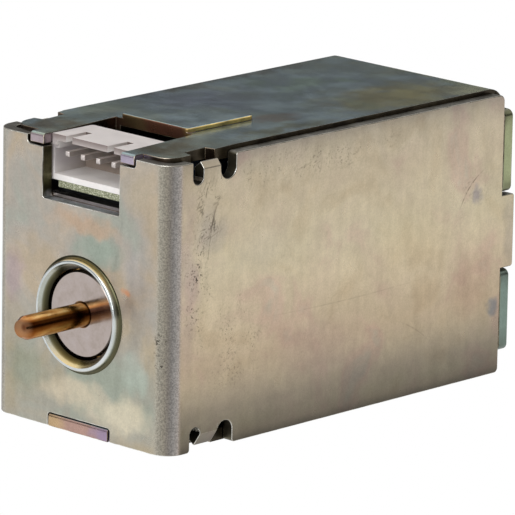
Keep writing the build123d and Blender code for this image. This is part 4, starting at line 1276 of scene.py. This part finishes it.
@dataclass
class Studio:
    """White table, softboxes above and in front, white world and the camera of the photograph."""

    azimuth: float = 0.76409
    elevation: float = 0.24473
    roll: float = 0.01825
    distance: float = 0.70205
    shift_right: float = -0.0018040
    shift_up: float = 0.0006901
    focal_pixels: float = 5941.713
    picture_pixels: float = 515.0
    sensor_mm: float = 36.0
    pivot: Vector = field(default_factory=lambda: Vector((0.0, -0.002242, 0.01725)))
    air_light: float = 0.45
    table_radius: float = 2.5
    table_gap_mm: float = 0.02
    band_radius: float = 1.2
    band_depth: float = 0.5
    band_height: float = 0.27
    round_sides: int = 96

    def build(self) -> None:
        """Makes the world, the table, the lamps and the camera."""
        scene = bpy.context.scene
        scene.view_settings.view_transform = "Standard"
        self._world(scene)
        self._table()
        self._surround()
        above = self._lamp("softbox_above", place=(-0.15, -0.12, 0.75), size=0.9, power=3.0)
        above.visible_glossy = False
        self._lamp("softbox_front", place=(0.25, -0.9, 0.45), size=0.7, power=5.0)
        self._camera(scene)

    def _shown(self, tree: Tree) -> Socket:
        """Makes a value that is 1 for rays that see a surface: direct, mirrored or let through.

        Args:
            tree: The node tree of the table's material or of the world.

        Returns:
            The value's socket.
        """
        path = add_node(tree, "ShaderNodeLightPath").outputs
        seen = add_node(tree, "ShaderNodeMath", {"operation": "ADD"}, {
            0: path["Is Camera Ray"], 1: path["Is Glossy Ray"]})
        return add_node(tree, "ShaderNodeMath", {"operation": "ADD", "use_clamp": True}, {
            0: seen.outputs[0], 1: path["Is Transmission Ray"]}).outputs[0]

    def _world(self, scene: bpy.types.Scene) -> None:
        """Sets a world that shows white and lights the object softly.

        Args:
            scene: The scene.
        """
        world = bpy.data.worlds.new("studio_air")
        scene.world = world
        world.use_nodes = True
        tree = world.node_tree
        tree.nodes.clear()
        strength = add_node(tree, "ShaderNodeMapRange", inputs={
            "Value": self._shown(tree), "To Min": self.air_light})
        background = add_node(tree, "ShaderNodeBackground", inputs={
            "Color": linear("#FFFFFF"), "Strength": strength.outputs["Result"]})
        add_node(tree, "ShaderNodeOutputWorld", inputs={"Surface": background.outputs["Background"]})

    def _placed(self, name: str, shape: bmesh.types.BMesh) -> bpy.types.Object:
        """Puts a mesh into the scene as an object.

        Args:
            name: Its name.
            shape: Its mesh, which is freed.

        Returns:
            The new object, as yet without a material.
        """
        mesh = bpy.data.meshes.new(name)
        shape.to_mesh(mesh)
        shape.free()
        thing = bpy.data.objects.new(name, mesh)
        bpy.context.scene.collection.objects.link(thing)
        return thing

    def _table(self) -> None:
        """Lays a wide white table just under the object, which shows as plain white."""
        shape = bmesh.new()
        under = Matrix.Translation((0.0, 0.0, CAD_LOW.z - self.table_gap_mm * MM))
        bmesh.ops.create_circle(shape, cap_ends=True, segments=self.round_sides, radius=self.table_radius,
                                matrix=under)
        table = self._placed("white_table", shape)
        # Painted board: matt white, shown as pure white and still lit by bounced light
        material, tree = fresh_tree("white_board")
        lit = add_node(tree, "ShaderNodeBsdfDiffuse", inputs={"Color": linear("#F6F6F6")})
        plain = add_node(tree, "ShaderNodeEmission", inputs={"Color": linear("#FFFFFF"), "Strength": 1.0})
        mixed = add_node(tree, "ShaderNodeMixShader", inputs={
            0: self._shown(tree), 1: lit.outputs["BSDF"], 2: plain.outputs["Emission"]})
        add_node(tree, "ShaderNodeOutputMaterial", inputs={"Surface": mixed.outputs["Shader"]})
        dress(table, material)
        table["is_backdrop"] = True

    def _surround(self) -> None:
        """Stands a low dark band round the table, which only reflections see, for contrast in metal."""
        shape = bmesh.new()
        bmesh.ops.create_cone(shape, cap_ends=False, segments=self.round_sides, radius1=self.band_radius,
                              radius2=self.band_radius, depth=self.band_depth,
                              matrix=Matrix.Translation((0.0, 0.0, self.band_height)))
        band = self._placed("dark_surround", shape)
        # Woven cloth: mid grey and matt
        cloth = Moulding("grey_cloth", ((0.3, "#6C6C6C"), (0.7, "#707070")), grain_mm=5.0, roughness=0.9)
        dress(band, cloth.material())
        band.visible_camera = False
        band.visible_shadow = False
        band.visible_diffuse = False
        band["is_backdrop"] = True

    def _lamp(self, name: str, place: Triple, size: float, power: float) -> bpy.types.Object:
        """Hangs a square softbox that points at the object.

        Args:
            name: The lamp's name.
            place: Where it hangs, in metres.
            size: Its side, in metres.
            power: Its power, in watts.

        Returns:
            The lamp.
        """
        data = bpy.data.lights.new(name, "AREA")
        data.size = size
        data.energy = power
        lamp = bpy.data.objects.new(name, data)
        bpy.context.scene.collection.objects.link(lamp)
        lamp.location = place
        aim = self.pivot - Vector(place)
        lamp.rotation_mode = "QUATERNION"
        lamp.rotation_quaternion = aim.to_track_quat("-Z", "Y")
        return lamp

    def _camera(self, scene: bpy.types.Scene) -> None:
        """Puts the camera where the photograph was taken from.

        Args:
            scene: The scene.
        """
        back = Vector((math.sin(self.azimuth) * math.cos(self.elevation),
                       -math.cos(self.azimuth) * math.cos(self.elevation), math.sin(self.elevation)))
        right = Vector((0.0, 0.0, 1.0)).cross(back).normalized()
        up = back.cross(right)
        rolled_right = math.cos(self.roll) * right + math.sin(self.roll) * up
        rolled_up = math.cos(self.roll) * up - math.sin(self.roll) * right
        place = (self.pivot - self.shift_right * rolled_right - self.shift_up * rolled_up
                 + self.distance * back)
        data = bpy.data.cameras.new("camera")
        data.sensor_width = self.sensor_mm
        data.lens = self.focal_pixels / self.picture_pixels * self.sensor_mm
        data.clip_start = 0.05
        data.clip_end = 20.0
        camera = bpy.data.objects.new("camera", data)
        scene.collection.objects.link(camera)
        turn = Matrix((rolled_right, rolled_up, back)).transposed()
        camera.matrix_world = Matrix.Translation(place) @ turn.to_4x4()
        scene.camera = camera


def main() -> None:
    """Builds and dresses each assembly in order, then the studio."""
    for assembly in (SheetMetalBox(), CoilAxis(), HeaderAndBoard()):
        assembly.build()
        assembly.dress()
        log.info("built %s", type(assembly).__name__)
    Winding().dress()
    Studio().build()
    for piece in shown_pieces():
        log.info("piece %s", piece.name)


if __name__ == "__main__":
    logging.basicConfig(level=logging.INFO)
    main()
